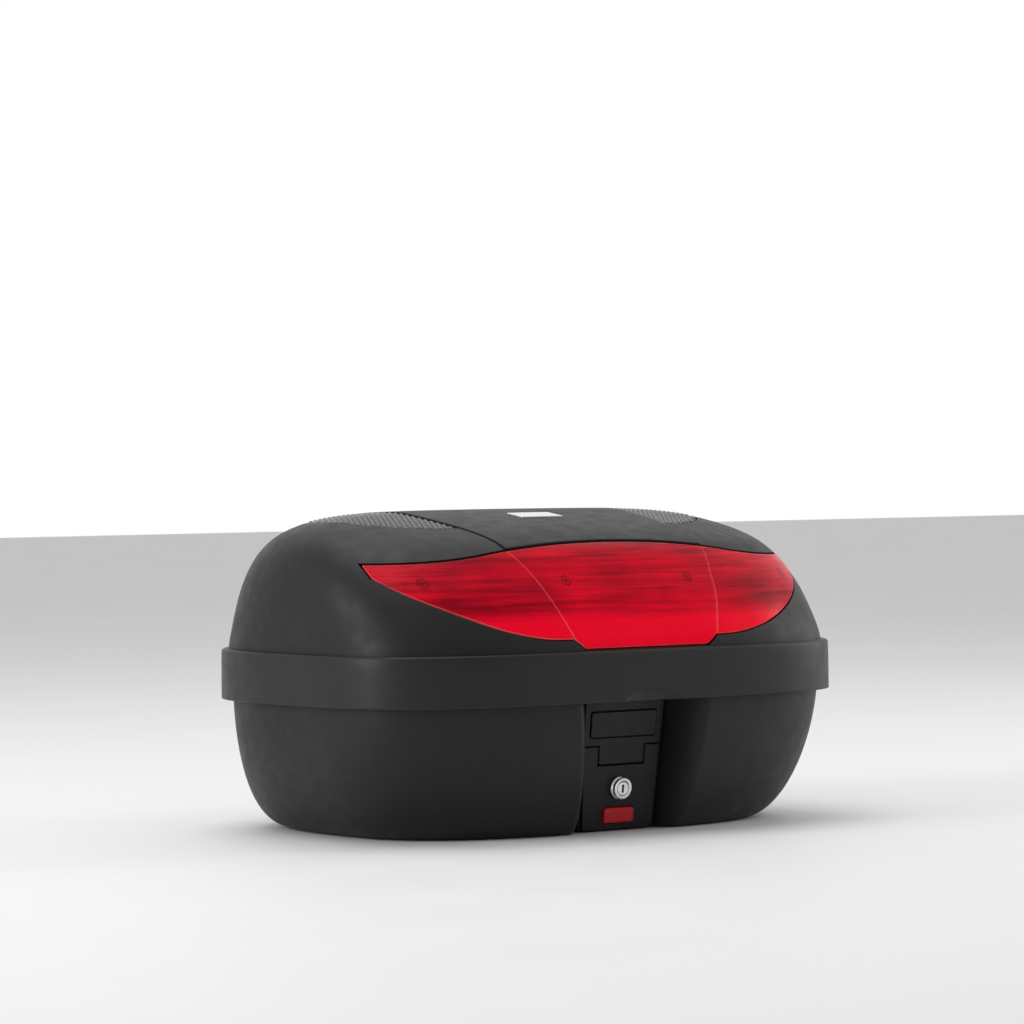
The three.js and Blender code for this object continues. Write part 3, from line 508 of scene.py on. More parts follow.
def reflector():
    """Glossy red lens: bright and smooth below, ribbed, darker and streaked above, with a painted
    highlight along its edges and a painted glow, strongest where it is bright.
    """
    n = Nodes("lens_red")
    split = n.add("ShaderNodeSeparateXYZ")
    n.put(split.inputs[0], n.position)
    x, z = split.outputs["X"], split.outputs["Z"]
    ribbed = n.spread(z, SMOOTH_BELOW * MM, (SMOOTH_BELOW + 14) * MM, 0.0, 1.0)
    streaks = n.noise(26, 6, (0.35, 0.35, 9))
    clouds = n.noise(9, 3)
    bright = (0.80, 0.0, 0.018, 1)
    deep = (0.22, 0.0, 0.008, 1)
    uneven = n.spread(n.math("ADD", streaks, clouds), 0.75, 1.25, 0.25, 0.95)
    darker = n.math("MULTIPLY", uneven, ribbed)
    tone = n.blend(darker, bright, deep)
    top = n.spread(z, 272 * MM, 280 * MM, 0.0, 0.5)
    tone = n.blend(top, tone, (0.12, 0.0, 0.006, 1))
    marks = None
    for bx, bz in LENS_BOSSES:
        dx = n.math("SUBTRACT", x, bx * MM)
        dz = n.math("SUBTRACT", z, bz * MM)
        far = n.math("SQRT", n.math("ADD", n.math("MULTIPLY", dx, dx), n.math("MULTIPLY", dz, dz)))
        ring_mark = n.math("COMPARE", far, 0.0042, 0.0008)
        spot = n.math("LESS_THAN", far, 0.0020)
        mark = n.math("MAXIMUM", ring_mark, spot)
        marks = mark if marks is None else n.math("MAXIMUM", marks, mark)
    tone = n.blend(n.math("MULTIPLY", marks, 0.6), tone, (0.05, 0.0, 0.004, 1))
    # Painted highlight: a pale line along the lens's outline, where its rounded edges catch the light.
    rim = n.add("ShaderNodeAttribute", attribute_name="rim").outputs["Fac"]
    tone = n.blend(rim, tone, (0.75, 0.10, 0.10, 1))
    wave = n.math("SINE", n.math("MULTIPLY", z, 2 * math.pi / (RIB_PITCH * MM)))
    ribs = n.bump(n.math("MULTIPLY", wave, ribbed), 0.2, 0.0003)
    # Painted glow: the lens gives off light in its own colour, most where it is bright, though no lamp
    # lights it.
    painted_glow = n.spread(darker, 0.0, 1.0, 0.26, 0.06)
    return n.set(
        Base_Color=tone,
        Roughness=n.spread(n.noise(40, 3), 0.3, 0.7, 0.25, 0.35),
        Specular_IOR_Level=0.05,
        Coat_Weight=0.05,
        Coat_Roughness=0.1,
        Emission_Color=tone,
        Emission_Strength=painted_glow,
        Normal=ribs,
    )


def glossy(name, color, roughness, painted_glow=0.0):
    """Smooth glossy plastic with faint handling marks, and a painted glow when one is asked for."""
    n = Nodes(name)
    tone = n.blend(n.noise(30, 4), (*[c * 0.85 for c in color], 1), (*color, 1))
    smears = n.noise(160, 4, (1, 1, 0.3))
    rough = n.spread(smears, 0.35, 0.7, roughness, roughness + 0.15)
    n.set(Base_Color=tone, Roughness=rough, Normal=n.bump(smears, 0.04, 0.0002))
    # Painted glow: emission in the plastic's own colour.
    if painted_glow:
        n.set(Emission_Color=(*color, 1), Emission_Strength=painted_glow)
    return n.material


SHELL = grained_plastic("shell_plastic", (0.009, 0.009, 0.0095), 0.5)
BAND = grained_plastic("band_plastic", (0.014, 0.014, 0.0145), 0.46, grain=1100, strength=0.25)
PANEL = grained_plastic("panel_plastic", (0.011, 0.011, 0.0115), 0.52)
LATCH = grained_plastic("latch_plastic", (0.005, 0.005, 0.0055), 0.42, grain=1300, strength=0.2)
PAD_BED = grained_plastic("pad_plastic", (0.012, 0.012, 0.0125), 0.4)
PAD_DOTS = grained_plastic("pad_dots_plastic", (0.2, 0.2, 0.202), 0.2, grain=2000, strength=0.15)
RUBBER = grained_plastic("gasket_rubber", (0.012, 0.012, 0.012), 0.75, grain=600, strength=0.3)
TRAY = grained_plastic("tray_plastic", (0.16, 0.004, 0.008), 0.5)
LENS = reflector()
BADGE = glossy("badge_satin", (0.86, 0.86, 0.88), 0.22)
# The release button gets a faint painted glow.
RED = glossy("button_red", (0.5, 0.001, 0.009), 0.14, painted_glow=0.05)
CHROME = metal("lock_chrome", (0.88, 0.88, 0.88), 0.14)
STEEL = metal("zinc_steel", (0.62, 0.62, 0.64), 0.3, (1, 1, 6))
# Painted shade: near-black plastic for the inside of the key slot, which looks dark only because of shade.
KEYWAY_SHADE = grained_plastic("keyway_painted_shade", (0.006, 0.006, 0.006), 0.7)


# ---- The tub ----
def tub():
    inner_z = [3, 3.6, 5, 8, 12, 18, 26, 36, 48, 62, 78, 96, 114, BAND_BOTTOM]
    outer_z = [0, 0.25, 0.8, 1.8, 3.2, 5, 7.5, 10.5, 14, 18, 23, 29, 36, 44, 53, 63, 74, 86, 98]
    outer_z += [110, 120, BAND_BOTTOM]
    rim = tub_section(BAND_BOTTOM, WALL)
    flange = FLANGE_INSET - TUB_INSET
    lip = tub_section(BAND_BOTTOM, flange)
    rings = [ring(tub_section(z, WALL), WALL) for z in inner_z]
    rings += [ring({**rim, "z": z}, WALL) for z in (145.0, RIM_TOP - 0.6, RIM_TOP)]
    rings += [ring({**lip, "z": z}, flange) for z in (RIM_TOP, RIM_TOP - 0.6, FLANGE_BOTTOM)]
    rings += [ring({**tub_section(BAND_BOTTOM), "z": z}, 0.0) for z in (FLANGE_BOTTOM - 3, 140.0)]
    for z in reversed(outer_z):
        soften = 1.2 * (1 - min(z / 1.8, 1)) ** 2
        rings.append(ring(tub_section(z, soften), 0.0))
    verts, faces = skin(rings)
    return piece("tub", verts, faces, SHELL, "case", "lower_shell")


def gasket():
    def seal(z, inset):
        return ring({**tub_section(BAND_BOTTOM, inset - TUB_INSET), "z": z}, inset - TUB_INSET)

    low, high = RIM_TOP + GASKET_GAP, LID_BOTTOM - GASKET_GAP
    profile = [(low, 7), (high - 1, 7.2), (high, 8.2), (high, 10.8), (high - 1, 11.8), (low, 12)]
    verts, faces = skin([seal(z, inset) for z, inset in profile], loop=True)
    return piece("gasket", verts, faces, RUBBER, "case", "rim_gasket")


tub()
gasket()

# ---- The lid and what sits in it ----
# The lens. Its edges are given as distance from the middle, then height.
LENS_UPPER = (
    (0, 281.5), (30, 281), (68, 279.5), (120, 275),
    (165, 268.8), (200, 265.5), (232, 264.2), (258, 264),
)
LENS_LOWER = (
    (88, 190.5), (120, 192), (160, 200), (198, 214), (229, 229), (247, 241), (257.5, 252),
)
LENS_BOTTOM, LENS_TIP = 181.0, 257.5
# The seams and the middle lens's lower corners are given as height, then distance.
SEAM = ((190.5, 88), (226, 101.5), (250, 109.5), (276, 121))
CHAMFER = ((181, 75), (190.5, 88))
SEAM_TOP_Z = 275.4
SEAM_GAP = 0.45
LENS_CLEAR = 1.5


def centre_lens(grow):
    def place(u, v):
        edge_z = mix(LENS_BOTTOM, SEAM_TOP_Z, v)
        chamfer = np.interp(edge_z, [c[0] for c in CHAMFER], [c[1] for c in CHAMFER])
        half = np.where(edge_z < CHAMFER[1][0], chamfer, through(SEAM, edge_z))
        x = (2 * u - 1) * (half + grow)
        return on_front(x, mix(LENS_BOTTOM - grow, through(LENS_UPPER, np.abs(x)) + grow, v))

    return place


def side_lens(side, grow):
    def place(u, v):
        seam = through(SEAM, mix(SEAM[0][0], SEAM_TOP_Z, v))
        start = seam - 10 if grow > 0 else seam - grow
        x = mix(start, LENS_TIP + grow, u)
        low = through(LENS_LOWER, x) - grow
        return on_front(side * x, mix(low, through(LENS_UPPER, x) + grow, v))

    return place


# The centre panel: Y against half its width there.
PANEL_EDGE = (
    (-130, 119.5), (-117, 120.5), (-86, 124), (-50, 128), (0, 132), (60, 135), (120, 131), (160, 120),
)
PANEL_BACK = 160.0
TRENCH = 2.2
PAD_FRONT, PAD_BACK, PAD_BULGE = -72.0, 130.0, 84.0
BADGE_HALF, BADGE_Y = (25.3, 12.8), -29.0


def panel_front(x):
    """Y of the panel's front edge, just above the lens."""
    z = through(LENS_UPPER, np.abs(x)) + LENS_CLEAR
    return front_y(lid_section(z), x)


def panel(u, v):
    k = 2 * u - 1
    y = mix(panel_front(k * 120), PANEL_BACK, v)
    return on_top(k * through(PANEL_EDGE, y), y)


def trench(side):
    def place(u, v):
        y = mix(panel_front(np.full_like(v, 122.0)) - 3, PANEL_BACK + 1, v)
        return on_top(side * (through(PANEL_EDGE, y) + mix(-0.8, TRENCH, u)), y)

    return place


def pad(side, grow=0.0):
    def place(u, v):
        y = mix(PAD_FRONT - grow * 3, PAD_BACK + grow * 3, v)
        inner = through(PANEL_EDGE, y) + TRENCH + 1.4 - grow
        lean = clamp(v) ** 0.8
        width = 3 + PAD_BULGE * np.maximum(np.sin(math.pi * lean), 0) ** 0.75
        return on_top(side * mix(inner, inner + width + 2 * grow, u), y)

    return place


SQUARE = 0.01  # the edge rounding of a cutter, next to none


def lid():
    turn = np.linspace(1, 0, 46)
    dome = BAND_TOP + (TOP_Z - BAND_TOP) * (1 - turn**5.447) ** (1 / 4.475)
    flank = np.linspace(BAND_TOP, dome[12], 28)[:-1]
    outer_z = np.concatenate([[LID_BOTTOM, 170], flank, dome[12:-1]])
    outer_z = np.minimum(outer_z, TOP_Z - 0.002)
    inner_z = np.concatenate([[LID_BOTTOM], np.linspace(BAND_TOP, 290, 18), np.linspace(292, 307, 9)])
    rings = []
    for z in reversed(inner_z):
        below = 3.0 * clamp((z - BAND_TOP) / 60)
        s = lid_section(min(z + below, TOP_Z - 0.2), WALL)
        r = ring({**s, "z": z})
        r[:, 2] += sag_at(r[:, 0], r[:, 1], r[:, 2] + below)
        rings.append(r)
    for z in outer_z:
        r = ring(lid_section(z))
        r[:, 2] += sag_at(r[:, 0], r[:, 1], r[:, 2])
        rings.append(r)
    verts, faces = skin(rings)
    made = piece("lid", verts, faces, SHELL, None)
    u, v = np.linspace(0, 1, 34), np.linspace(0, 1, 26)
    long_v = np.linspace(0, 1, 60)
    openings = (centre_lens(LENS_CLEAR), side_lens(1, LENS_CLEAR), side_lens(-1, LENS_CLEAR))
    cutters = [slab(place, u, v, low=-12.0, high=8.0, edge=SQUARE) for place in openings]
    for side in (-1, 1):
        groove = slab(trench(side), np.array([0, 0.5, 1]), long_v, low=-1.9, high=6.0, edge=SQUARE)
        bed = slab(pad(side, 1.0), np.linspace(0, 1, 9), long_v, low=-1.7, high=6.0, edge=SQUARE)
        cutters += [groove, bed]
    carve(made, [(c[0], c[1]) for c in cutters])
    return finished(made, SHELL, "lid", ("lid_shell",))


def with_rim(obj, distances, width=0.5):
    """Stores how close each vertex is to the piece's outline, for the painted edge highlight in the
    material.
    """
    values = np.clip(1 - distances / width, 0, 1)
    layer = obj.data.attributes.new("rim", "FLOAT", "POINT")
    layer.data.foreach_set("value", values[: len(obj.data.vertices)])


def lens(name, place, node, length, height):
    u, v = edge_stops(length, 70, 0.9), edge_stops(height, 60, 0.9)
    verts, faces, distance = slab(place, u, v, low=-2.8, high=0.45, edge=0.7)
    mesh = bpy.data.meshes.new(name)
    mesh.from_pydata((verts * MM).tolist(), [], faces)
    made = bpy.data.objects.new(name, mesh)
    # The outline distance drives the lens's painted edge highlight.
    with_rim(made, distance)
    shade(mesh, 60)
    return finished(made, LENS, "lid", (node,))


SCOOP_REACH, SCOOP_Z, SCOOP_DEPTH = (34.0, 14.0), 126.0, 4.0  # the finger scoop in the band


def scooped(r):
    """Presses the finger scoop into a ring of the band."""
    away = (r[:, 0] / SCOOP_REACH[0]) ** 2 + ((r[:, 2] - SCOOP_Z) / SCOOP_REACH[1]) ** 2
    r[:, 1] += np.where(r[:, 1] < -150, SCOOP_DEPTH * np.sqrt(np.maximum(1 - away, 0)), 0)
    return r


def rim_band():
    steps = (1, 2.2, 3.6, 5, 6.4, 7.6, 8.6, 9.4, 10, 10.4, 10.7, 10.9, 11.1, 11.5, 13)
    low = [BAND_BOTTOM + step for step in steps]  # closer together where the scoop ends
    inner_low = [(z, BAND_INSET) for z in reversed(low[::2])]
    profile = [(BAND_BOTTOM + 0.4, BAND_INSET), (BAND_BOTTOM, BAND_INSET - 0.5), (BAND_BOTTOM, 0.8)]
    profile += [(BAND_BOTTOM + 0.3, 0.25), *((z, 0) for z in low), (152, 0.05), (165, 0.2)]
    profile += [(BAND_TOP - 3, 0.35), (BAND_TOP - 1.6, 0.7), (BAND_TOP - 0.6, 1.5), (BAND_TOP, 2.7)]
    profile += [(BAND_TOP, LID_INSET - 0.4), (BAND_TOP - 0.6, LID_INSET), (BAND_TOP - 3.5, LID_INSET)]
    profile += [(BAND_TOP - 3.5, BAND_INSET), (152, BAND_INSET), *inner_low]
    rings = [scooped(ring(band_section(z, inset))) for z, inset in profile]
    verts, faces = skin(rings, loop=True)
    pads = [np.array([[c - 22, 212.5, 130], [c + 22, 215.5, 169.5]]) for c in (-75, 75)]
    loose = [piece("band_ring", verts, faces, BAND, None)]
    for i, (low, high) in enumerate(pads):
        loose.append(block(f"band_pad_{i}", low, high, 0.8))
    return merged("band", loose, BAND, "lid", "rim_band")


def block(name, low, high, bevel):
    """A loose box with rounded edges."""
    corners = [[x, y, z] for x in (low[0], high[0]) for y in (low[1], high[1]) for z in (low[2], high[2])]
    faces = [(0, 1, 3, 2), (4, 6, 7, 5), (0, 4, 5, 1), (2, 3, 7, 6), (0, 2, 6, 4), (1, 5, 7, 3)]
    made = piece(name, corners, faces, LATCH, None)
    rounding = made.modifiers.new("rounding", "BEVEL")
    rounding.width = bevel * MM
    rounding.segments = 3
    return made


def panel_piece():
    u, v = edge_stops(240, 60, 1.2), edge_stops(290, 70, 1.2)
    verts, faces, _ = slab(panel, u, v, low=0.05, high=0.85, edge=0.7)
    return piece("panel", verts, faces, PANEL, "lid", "centre_panel")


def badge():
    def place(u, v):
        return on_top((2 * u - 1) * BADGE_HALF[0], BADGE_Y + (2 * v - 1) * BADGE_HALF[1])

    u, v = edge_stops(47, 12, 0.6), edge_stops(25, 8, 0.6)
    verts, faces, _ = slab(place, u, v, low=0.9, high=2.0, edge=0.5)
    return piece("badge", verts, faces, BADGE, "lid", "badge_plate")


DOT_PITCH_X, DOT_PITCH_Y = 5.6, 4.6
DOT_RINGS = ((1.75, -0.9), (1.55, -0.15), (1.0, 0.55), (0.45, 0.75))  # radius and height
DOT_SIDES = 8


def pad_piece(side):
    name = "right" if side > 0 else "left"
    u, v = edge_stops(80, 14, 0.8), edge_stops(190, 44, 0.8)
    verts, faces, _ = slab(pad(side), u, v, low=-1.5, high=-0.6, edge=0.4)
    bed = piece(f"grip_bed_{name}", verts, faces, PAD_BED, "lid")
    centres = []
    for row, y in enumerate(np.arange(PAD_FRONT + 5, PAD_BACK - 4, DOT_PITCH_Y)):
        v = (y - PAD_FRONT) / (PAD_BACK - PAD_FRONT)
        ends = pad(side)(np.array([0.0, 1.0]), np.array([v, v]))
        low, high = sorted(np.abs(ends[:, 0]))
        start = low + 2.6 + (row % 2) * DOT_PITCH_X / 2
        centres += [(side * x, y) for x in np.arange(start, high - 2.2, DOT_PITCH_X)]
    centres = np.array(centres)
    at = on_top(centres[:, 0], centres[:, 1])
    nx = on_top(centres[:, 0] + 0.5, centres[:, 1]) - at
    ny = on_top(centres[:, 0], centres[:, 1] + 0.5) - at
    up = np.cross(nx, ny)
    up /= np.linalg.norm(up, axis=1, keepdims=True)
    verts, faces = [], []
    for p, n in zip(at, up):
        start = len(verts)
        along_x = np.cross([0, 1, 0], n)
        along_x /= np.linalg.norm(along_x)
        along_y = np.cross(n, along_x)
        for radius, height in DOT_RINGS:
            for i in range(DOT_SIDES):
                a = 2 * math.pi * i / DOT_SIDES
                around = 1.25 * math.cos(a) * along_x + 0.9 * math.sin(a) * along_y
                verts.append(p + n * height + radius * around)
        for r in range(len(DOT_RINGS) - 1):
            for i in range(DOT_SIDES):
                j = (i + 1) % DOT_SIDES
                low, high = start + r * DOT_SIDES, start + (r + 1) * DOT_SIDES
                faces.append((low + i, low + j, high + j, high + i))
        faces.append(tuple(start + i for i in reversed(range(DOT_SIDES))))
        last = start + (len(DOT_RINGS) - 1) * DOT_SIDES
        faces.append(tuple(last + i for i in range(DOT_SIDES)))
    dots = piece(f"grip_dots_{name}", verts, faces, PAD_DOTS, "lid", f"grip_pad_{name}")
    return bed, dots


lid()
rim_band()
lens("lens_middle", centre_lens(-SEAM_GAP), "lens_centre", 220, 100)
lens("lens_side_right", side_lens(1, -SEAM_GAP), "lens_right", 160, 70)
lens("lens_side_left", side_lens(-1, -SEAM_GAP), "lens_left", 160, 70)
panel_piece()
badge()
pad_piece(1)
pad_piece(-1)

# ---- The latch column ----
# On the column, X runs across, Z up and Y inwards from its face.
ON_COLUMN = Matrix.Translation((0, COLUMN_FOOT_Y * MM, 0)) @ Matrix.Rotation(COLUMN_TILT, 4, "X")
COLUMN_TOP = 126.0
SHOULDER_Z, TONGUE_Z, TONGUE_HALF = 84.0, 66.0, 27.5
SLIT = 1.4  # round the hasp's tongue
COLUMN_BASE_Z = 1.2
LOCK_Z, BUTTON_Z = 42.3, 15.5
BUTTON_HALF = (18.4, 7.6)
PIVOT = (4.0, 148.5)  # the hasp's pin: in from the face, and up
PIVOT_HALF = 40.0
RAISED_HALF, RAISED_Z = (40.0, 12.5), 105.5  # the raised rectangle on the hasp


def face_half(z):
    return mix(43, 48, z / COLUMN_TOP)


def circle(radius, z, sides=72):
    angle = np.linspace(0, 2 * math.pi, sides, endpoint=False)
    return [(radius * math.cos(a), z + radius * math.sin(a)) for a in angle]


def rounded_rect(half_x, half_z, z, radius, steps=8):
    points = []
    for sx, sz, start in ((1, -1, -90), (1, 1, 0), (-1, 1, 90), (-1, -1, 180)):
        for i in range(steps + 1):
            a = math.radians(start + 90 * i / steps)
            x = sx * (half_x - radius) + radius * math.cos(a)
            points.append((x, z + sz * (half_z - radius) + radius * math.sin(a)))
    return points


def plate(name, loops, y0, y1, bevel):
    """A loose plate on the column, from outlines in X and Z: the first is its edge, the rest holes."""
    curve = bpy.data.curves.new(name, "CURVE")
    curve.dimensions = "2D"
    curve.fill_mode = "BOTH"
    for loop in loops:
        spline = curve.splines.new("POLY")
        spline.points.add(len(loop) - 1)
        spline.use_cyclic_u = True
        for point, (x, z) in zip(spline.points, loop):
            point.co = (x * MM, z * MM, 0, 1)
    curve.extrude = ((y1 - y0) / 2 - bevel) * MM
    curve.bevel_depth = bevel * MM
    curve.bevel_resolution = 3
    curve.offset = -bevel * MM
    made = bpy.data.objects.new(name, curve)
    bpy.context.scene.collection.objects.link(made)
    stand = Matrix.Rotation(math.pi / 2, 4, "X")
    made.matrix_world = ON_COLUMN @ Matrix.Translation((0, (y0 + y1) / 2 * MM, 0)) @ stand
    return made


def turned(name, profile, z, sides=72):
    """A loose turned piece on the column from (radius, y) points, its axis at height z."""
    verts, faces = [], []
    for radius, y in profile:
        for i in range(sides):
            a = 2 * math.pi * i / sides
            verts.append((radius * math.cos(a), y, z + radius * math.sin(a)))
    for r in range(len(profile) - 1):
        for i in range(sides):
            j = (i + 1) % sides
            faces.append((r * sides + i, r * sides + j, (r + 1) * sides + j, (r + 1) * sides + i))
    made = piece(name, verts, faces, CHROME, None)
    made.matrix_world = ON_COLUMN
    return made


def trapezoid(z0, z1, widen=0.0):
    low, high = face_half(z0) + widen, face_half(z1) + widen
    return [(-low, z0), (low, z0), (high, z1), (-high, z1)]


def latch_column():
    half_top = face_half(SHOULDER_Z)
    notch = TONGUE_HALF + SLIT
    top, bottom = SHOULDER_Z - 0.3, TONGUE_Z - SLIT
    foot = 3.0
    half_base, base = face_half(0), COLUMN_BASE_Z
    face = [(-half_base + foot, base), (half_base - foot, base), (half_base, base + foot)]
    face += [(half_top, top), (notch, top), (notch, bottom)]
    face += [(-notch, bottom), (-notch, top), (-half_top, top), (-half_base, base + foot)]
    whole = trapezoid(base, COLUMN_TOP)
    lock_hole = circle(9.9, LOCK_Z)
    button_hole = rounded_rect(BUTTON_HALF[0] + 0.6, BUTTON_HALF[1] + 0.6, BUTTON_Z, 3.4)
    collar_room = rounded_rect(BUTTON_HALF[0] + 3, BUTTON_HALF[1] + 2, BUTTON_Z, 3)
    loose = [
        plate("face", [face, circle(9.8, LOCK_Z), button_hole], 0.0, 3.4, 0.7),
        plate("core", [face, lock_hole, collar_room], 3.4, 7.9, 0.2),
        plate("back", [whole, lock_hole, collar_room], 8.6, COLUMN_DEPTH - 0.3, 0.4),
    ]
    for side in (-1, 1):
        inner = [(side * (face_half(z) + 0.9), z) for z in (base, COLUMN_TOP)]
        outer = [(side * (face_half(z) + 3.0), z) for z in (COLUMN_TOP, base)]
        loose.append(plate(f"flange_{side}", [inner + outer], 2.2, COLUMN_DEPTH - 0.3, 0.5))
    return merged("latch_column", loose, LATCH, "case", "latch_housing")


def hasp():
    half = face_half(SHOULDER_Z)
    low, neck = SHOULDER_Z + SLIT * 0.5, 126.0
    corner = [(TONGUE_HALF - 1.5, TONGUE_Z), (TONGUE_HALF, TONGUE_Z + 1.5)]
    bolt_slot = [(TONGUE_HALF, 70.4), (21.4, 70.4), (21.4, 79.6), (TONGUE_HALF, 79.6)]
    rest = [(TONGUE_HALF, low), (half, low), (face_half(neck), neck), (PIVOT_HALF, neck + 3)]
    rest.append((PIVOT_HALF, PIVOT[1]))
    left = [(-x, z) for x, z in reversed(corner + rest)]
    outline = corner + rest + left
    slotted = corner + bolt_slot + rest + left
    half_x, half_z = RAISED_HALF
    raised = rounded_rect(half_x, half_z, RAISED_Z, 2.4)
    groove = rounded_rect(half_x + 0.8, half_z + 0.8, RAISED_Z, 2.8)
    bed = rounded_rect(half_x + 2.5, half_z + 2.5, RAISED_Z, 3)
    loose = [
        plate("hasp_plate", [outline, groove], 0.0, 3.2, 0.7),
        plate("hasp_core", [slotted, groove], 3.2, 6.1, 0.1),
        plate("hasp_back", [outline, groove], 6.1, 7.1, 0.3),
        plate("hasp_bed", [bed], 2.2, 7.0, 0.3),
        plate("hasp_raised", [raised], -1.1, 4.0, 0.8),
    ]
    sides = 32
    verts, faces = [], []
    for x in (-PIVOT_HALF, PIVOT_HALF):
        for i in range(sides):
            a = 2 * math.pi * i / sides
            verts.append((x, PIVOT[0] + 5.3 * math.cos(a), PIVOT[1] + 5.3 * math.sin(a)))
    faces = [(i, (i + 1) % sides, sides + (i + 1) % sides, sides + i) for i in range(sides)]
    faces += [tuple(range(sides)), tuple(sides + i for i in reversed(range(sides)))]
    knuckle = piece("hasp_knuckle", verts, faces, LATCH, None)
    knuckle.matrix_world = ON_COLUMN
    return merged("hasp_flap", loose + [knuckle], LATCH, "hasp", "hasp")


def lock():
    bezel = [(7.1, 11), (7.1, -5.9), (7.4, -6.3), (8.0, -6.5), (9.6, -6.5), (10.4, -6.2), (10.75, -5.6)]
    bezel += [(10.7, -5.1), (10.2, -4.7), (9.5, -4.4), (9.3, -3.8), (9.4, -2.6), (9.9, -1.9), (11.2, -1.4)]
    bezel += [(11.45, -1.0), (11.45, -0.4), (9.3, -0.4), (9.3, 11), (7.1, 11)]
    merged("lock_bezel", [turned("bezel", bezel, LOCK_Z)], CHROME, "case", "lock_barrel")
    slot = rounded_rect(1.2, 3.8, LOCK_Z, 0.6, 4)
    disc = plate("plug_disc", [circle(6.6, LOCK_Z), slot], -6.0, 2.0, 0.3)
    merged("lock_plug_face", [disc], CHROME, "lock", "lock_plug")
    # The keyway's back is painted shade, seen through the key slot.
    merged("keyway", [plate("keyway_back", [circle(6.4, LOCK_Z)], 0.5, 10.5, 0.2)], KEYWAY_SHADE, "lock")


def button():
    cap = plate("cap", [rounded_rect(*BUTTON_HALF, BUTTON_Z, 3.2)], -2.9, 4.0, 1.6)
    rim = rounded_rect(BUTTON_HALF[0] + 1.8, BUTTON_HALF[1] + 0.9, BUTTON_Z, 2)
    collar = plate("collar", [rim], 3.9, 5.3, 0.2)
    return merged("button", [cap, collar], RED, "button", "release_button")


SPRING_FRONT, SPRING_BACK, SPRING_RADIUS, WIRE_RADIUS, SPRING_TURNS = 6.3, 14.3, 4.0, 0.5, 4


def button_spring():
    """The coil behind the button, drawn at its length with the button not pressed; the real coil shortens
    as the button is pressed.
    """
    steps, sides = 96, 8
    turn = np.linspace(0, 2 * math.pi * SPRING_TURNS, steps)[:, None]
    around = np.linspace(0, 2 * math.pi, sides, endpoint=False)[None, :]
    radius = SPRING_RADIUS + WIRE_RADIUS * np.cos(around)
    depth = mix(SPRING_FRONT, SPRING_BACK, turn / turn[-1]) + WIRE_RADIUS * np.sin(around)
    coil = np.stack([radius * np.cos(turn), depth, BUTTON_Z + radius * np.sin(turn)], axis=-1)
    coil = coil.reshape(-1, 3) @ np.array(ON_COLUMN.to_3x3()).T + (0, COLUMN_FOOT_Y, 0)
    verts, faces = skin(list(coil.reshape(steps, sides, 3)))
    made = piece("button_coil", verts, faces, STEEL, "case", "button_spring")
    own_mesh(made)
    return made


latch_column()
hasp()
lock()
button()
button_spring()

# ---- The CAD pieces that show as they are ----
# Each name here is how the names of its nodes begin.
FINISHES = {
    "lens_tray": TRAY,
    "hasp_housing": LATCH,
    "hinge_leaf": LATCH,
    "hinge_pin": STEEL,
    "hinge_screw": STEEL,
    "latch_screw": STEEL,
    "lens_screw": STEEL,
    "hasp_pin": STEEL,
    "lock_cam": STEEL,
    "latch_bolt": STEEL,
    "release_catch": STEEL,
}
for node, obj in frame["nodes"].items():
    surface = next((m for start, m in FINISHES.items() if node.startswith(start)), None)
    if surface is None:
        continue
    obj.data.materials.clear()
    obj.data.materials.append(surface)
    rounding = obj.modifiers.new("rounding", "BEVEL")
    rounding.width = 0.3 * MM
    rounding.segments = 2
    rounding.limit_method = "ANGLE"
    rounding.angle_limit = math.radians(40)


# ---- Floor, light and camera ----
FLOOR_SIZE, FLOOR_GAP = 30, 0.0004  # metres


def floor():
    bpy.ops.mesh.primitive_plane_add(size=FLOOR_SIZE, location=(0, 0, -FLOOR_GAP))
    made = bpy.context.object
    made.name = "floor"
    n = Nodes("floor_paint")
    tone = n.blend(n.noise(2.5, 5), (0.86, 0.86, 0.86, 1), (0.9, 0.9, 0.9, 1))
    rough = n.spread(n.noise(8, 4), 0.3, 0.7, 0.55, 0.7)
    made.data.materials.append(n.set(Base_Color=tone, Roughness=rough))


def softbox(name, location, target, size, power):
    light = bpy.data.lights.new(name, "AREA")
    light.shape = "RECTANGLE"
    light.size, light.size_y = size
    light.energy = power
    made = bpy.data.objects.new(name, light)
    bpy.context.scene.collection.objects.link(made)
    made.location = location
    made.rotation_mode = "QUATERNION"
    made.rotation_quaternion = (Vector(target) - Vector(location)).to_track_quat("-Z", "Y")


CAMERA_AZIMUTH, CAMERA_ELEVATION = math.radians(-37.09), math.radians(2.77)
CAMERA_DISTANCE, CAMERA_TARGET = 4.324, Vector((0, WIDEST_Y * MM, 0.155))
LENS_MM, SENSOR_MM = 151.9, 36.0
TARGET_RIGHT, TARGET_DOWN = 0.0168, 0.1515  # where the target falls, in widths from the middle
CAMERA_ROLL = math.radians(-0.604)


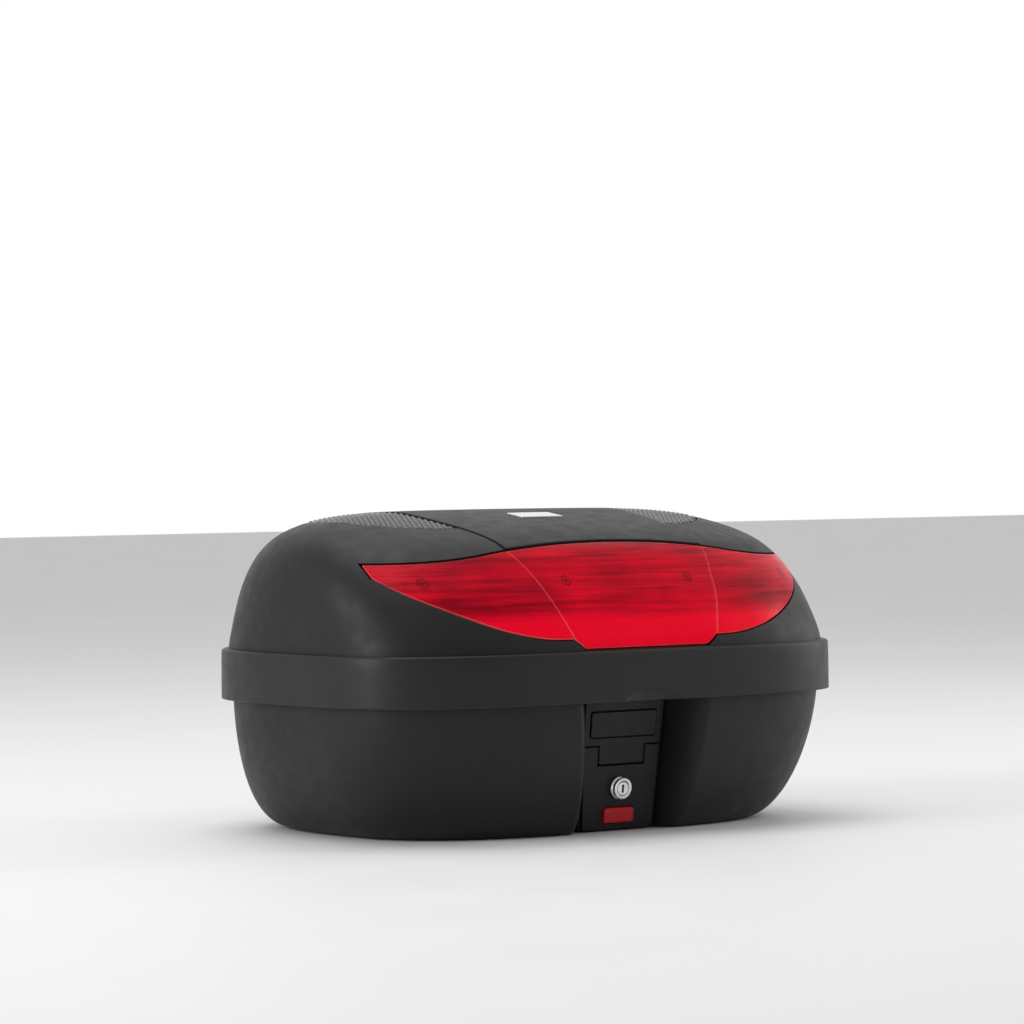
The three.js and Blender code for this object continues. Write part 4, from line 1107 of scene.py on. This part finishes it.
def camera():
    data = bpy.data.cameras.new("camera")
    data.lens, data.sensor_width = LENS_MM, SENSOR_MM
    data.clip_end = 60
    made = bpy.data.objects.new("camera", data)
    bpy.context.scene.collection.objects.link(made)
    a, e = CAMERA_AZIMUTH, CAMERA_ELEVATION
    back = Vector((math.sin(a) * math.cos(e), -math.cos(a) * math.cos(e), math.sin(e)))
    made.location = CAMERA_TARGET + back * CAMERA_DISTANCE
    made.rotation_mode = "QUATERNION"
    share = SENSOR_MM / LENS_MM
    lift = Quaternion((1, 0, 0), math.atan(TARGET_DOWN * share))
    turn = Quaternion((0, 1, 0), math.atan(TARGET_RIGHT * share))
    roll = Quaternion((0, 0, 1), CAMERA_ROLL)
    made.rotation_quaternion = (-back).to_track_quat("-Z", "Y") @ turn @ lift @ roll
    bpy.context.scene.camera = made


BRIGHT_SIDE = (0.603, 0.798, 0.0)  # where the surroundings are lightest, beyond the object


def world():
    """Pale surroundings, brightest beyond the object and dimmer on the near side."""
    made = bpy.data.worlds.new("world")
    made.use_nodes = True
    tree = made.node_tree
    coordinates = tree.nodes.new("ShaderNodeTexCoord")
    toward = tree.nodes.new("ShaderNodeVectorMath")
    toward.operation = "DOT_PRODUCT"
    toward.inputs[1].default_value = BRIGHT_SIDE
    fade = tree.nodes.new("ShaderNodeMapRange")
    for socket, value in zip(fade.inputs, (0.0, 0.0, 0.95, 0.42, 1.0)):
        socket.default_value = value
    tree.links.new(coordinates.outputs["Generated"], toward.inputs[0])
    tree.links.new(toward.outputs["Value"], fade.inputs[0])
    light = tree.nodes["Background"]
    light.inputs["Color"].default_value = (1, 1, 1, 1)
    tree.links.new(fade.outputs[0], light.inputs["Strength"])
    bpy.context.scene.world = made
    bpy.context.scene.view_settings.view_transform = "Standard"


floor()
softbox("left_box", (-3.2, 0.4, 1.2), (0, 0, 0.15), (1.2, 1.8), 45)
softbox("top_box", (-0.2, 0.6, 3.4), (0, 0, 0.2), (2.6, 2.0), 40)
softbox("right_box", (3.0, -0.8, 1.0), (0, 0, 0.15), (0.8, 1.6), 22)
world()
camera()
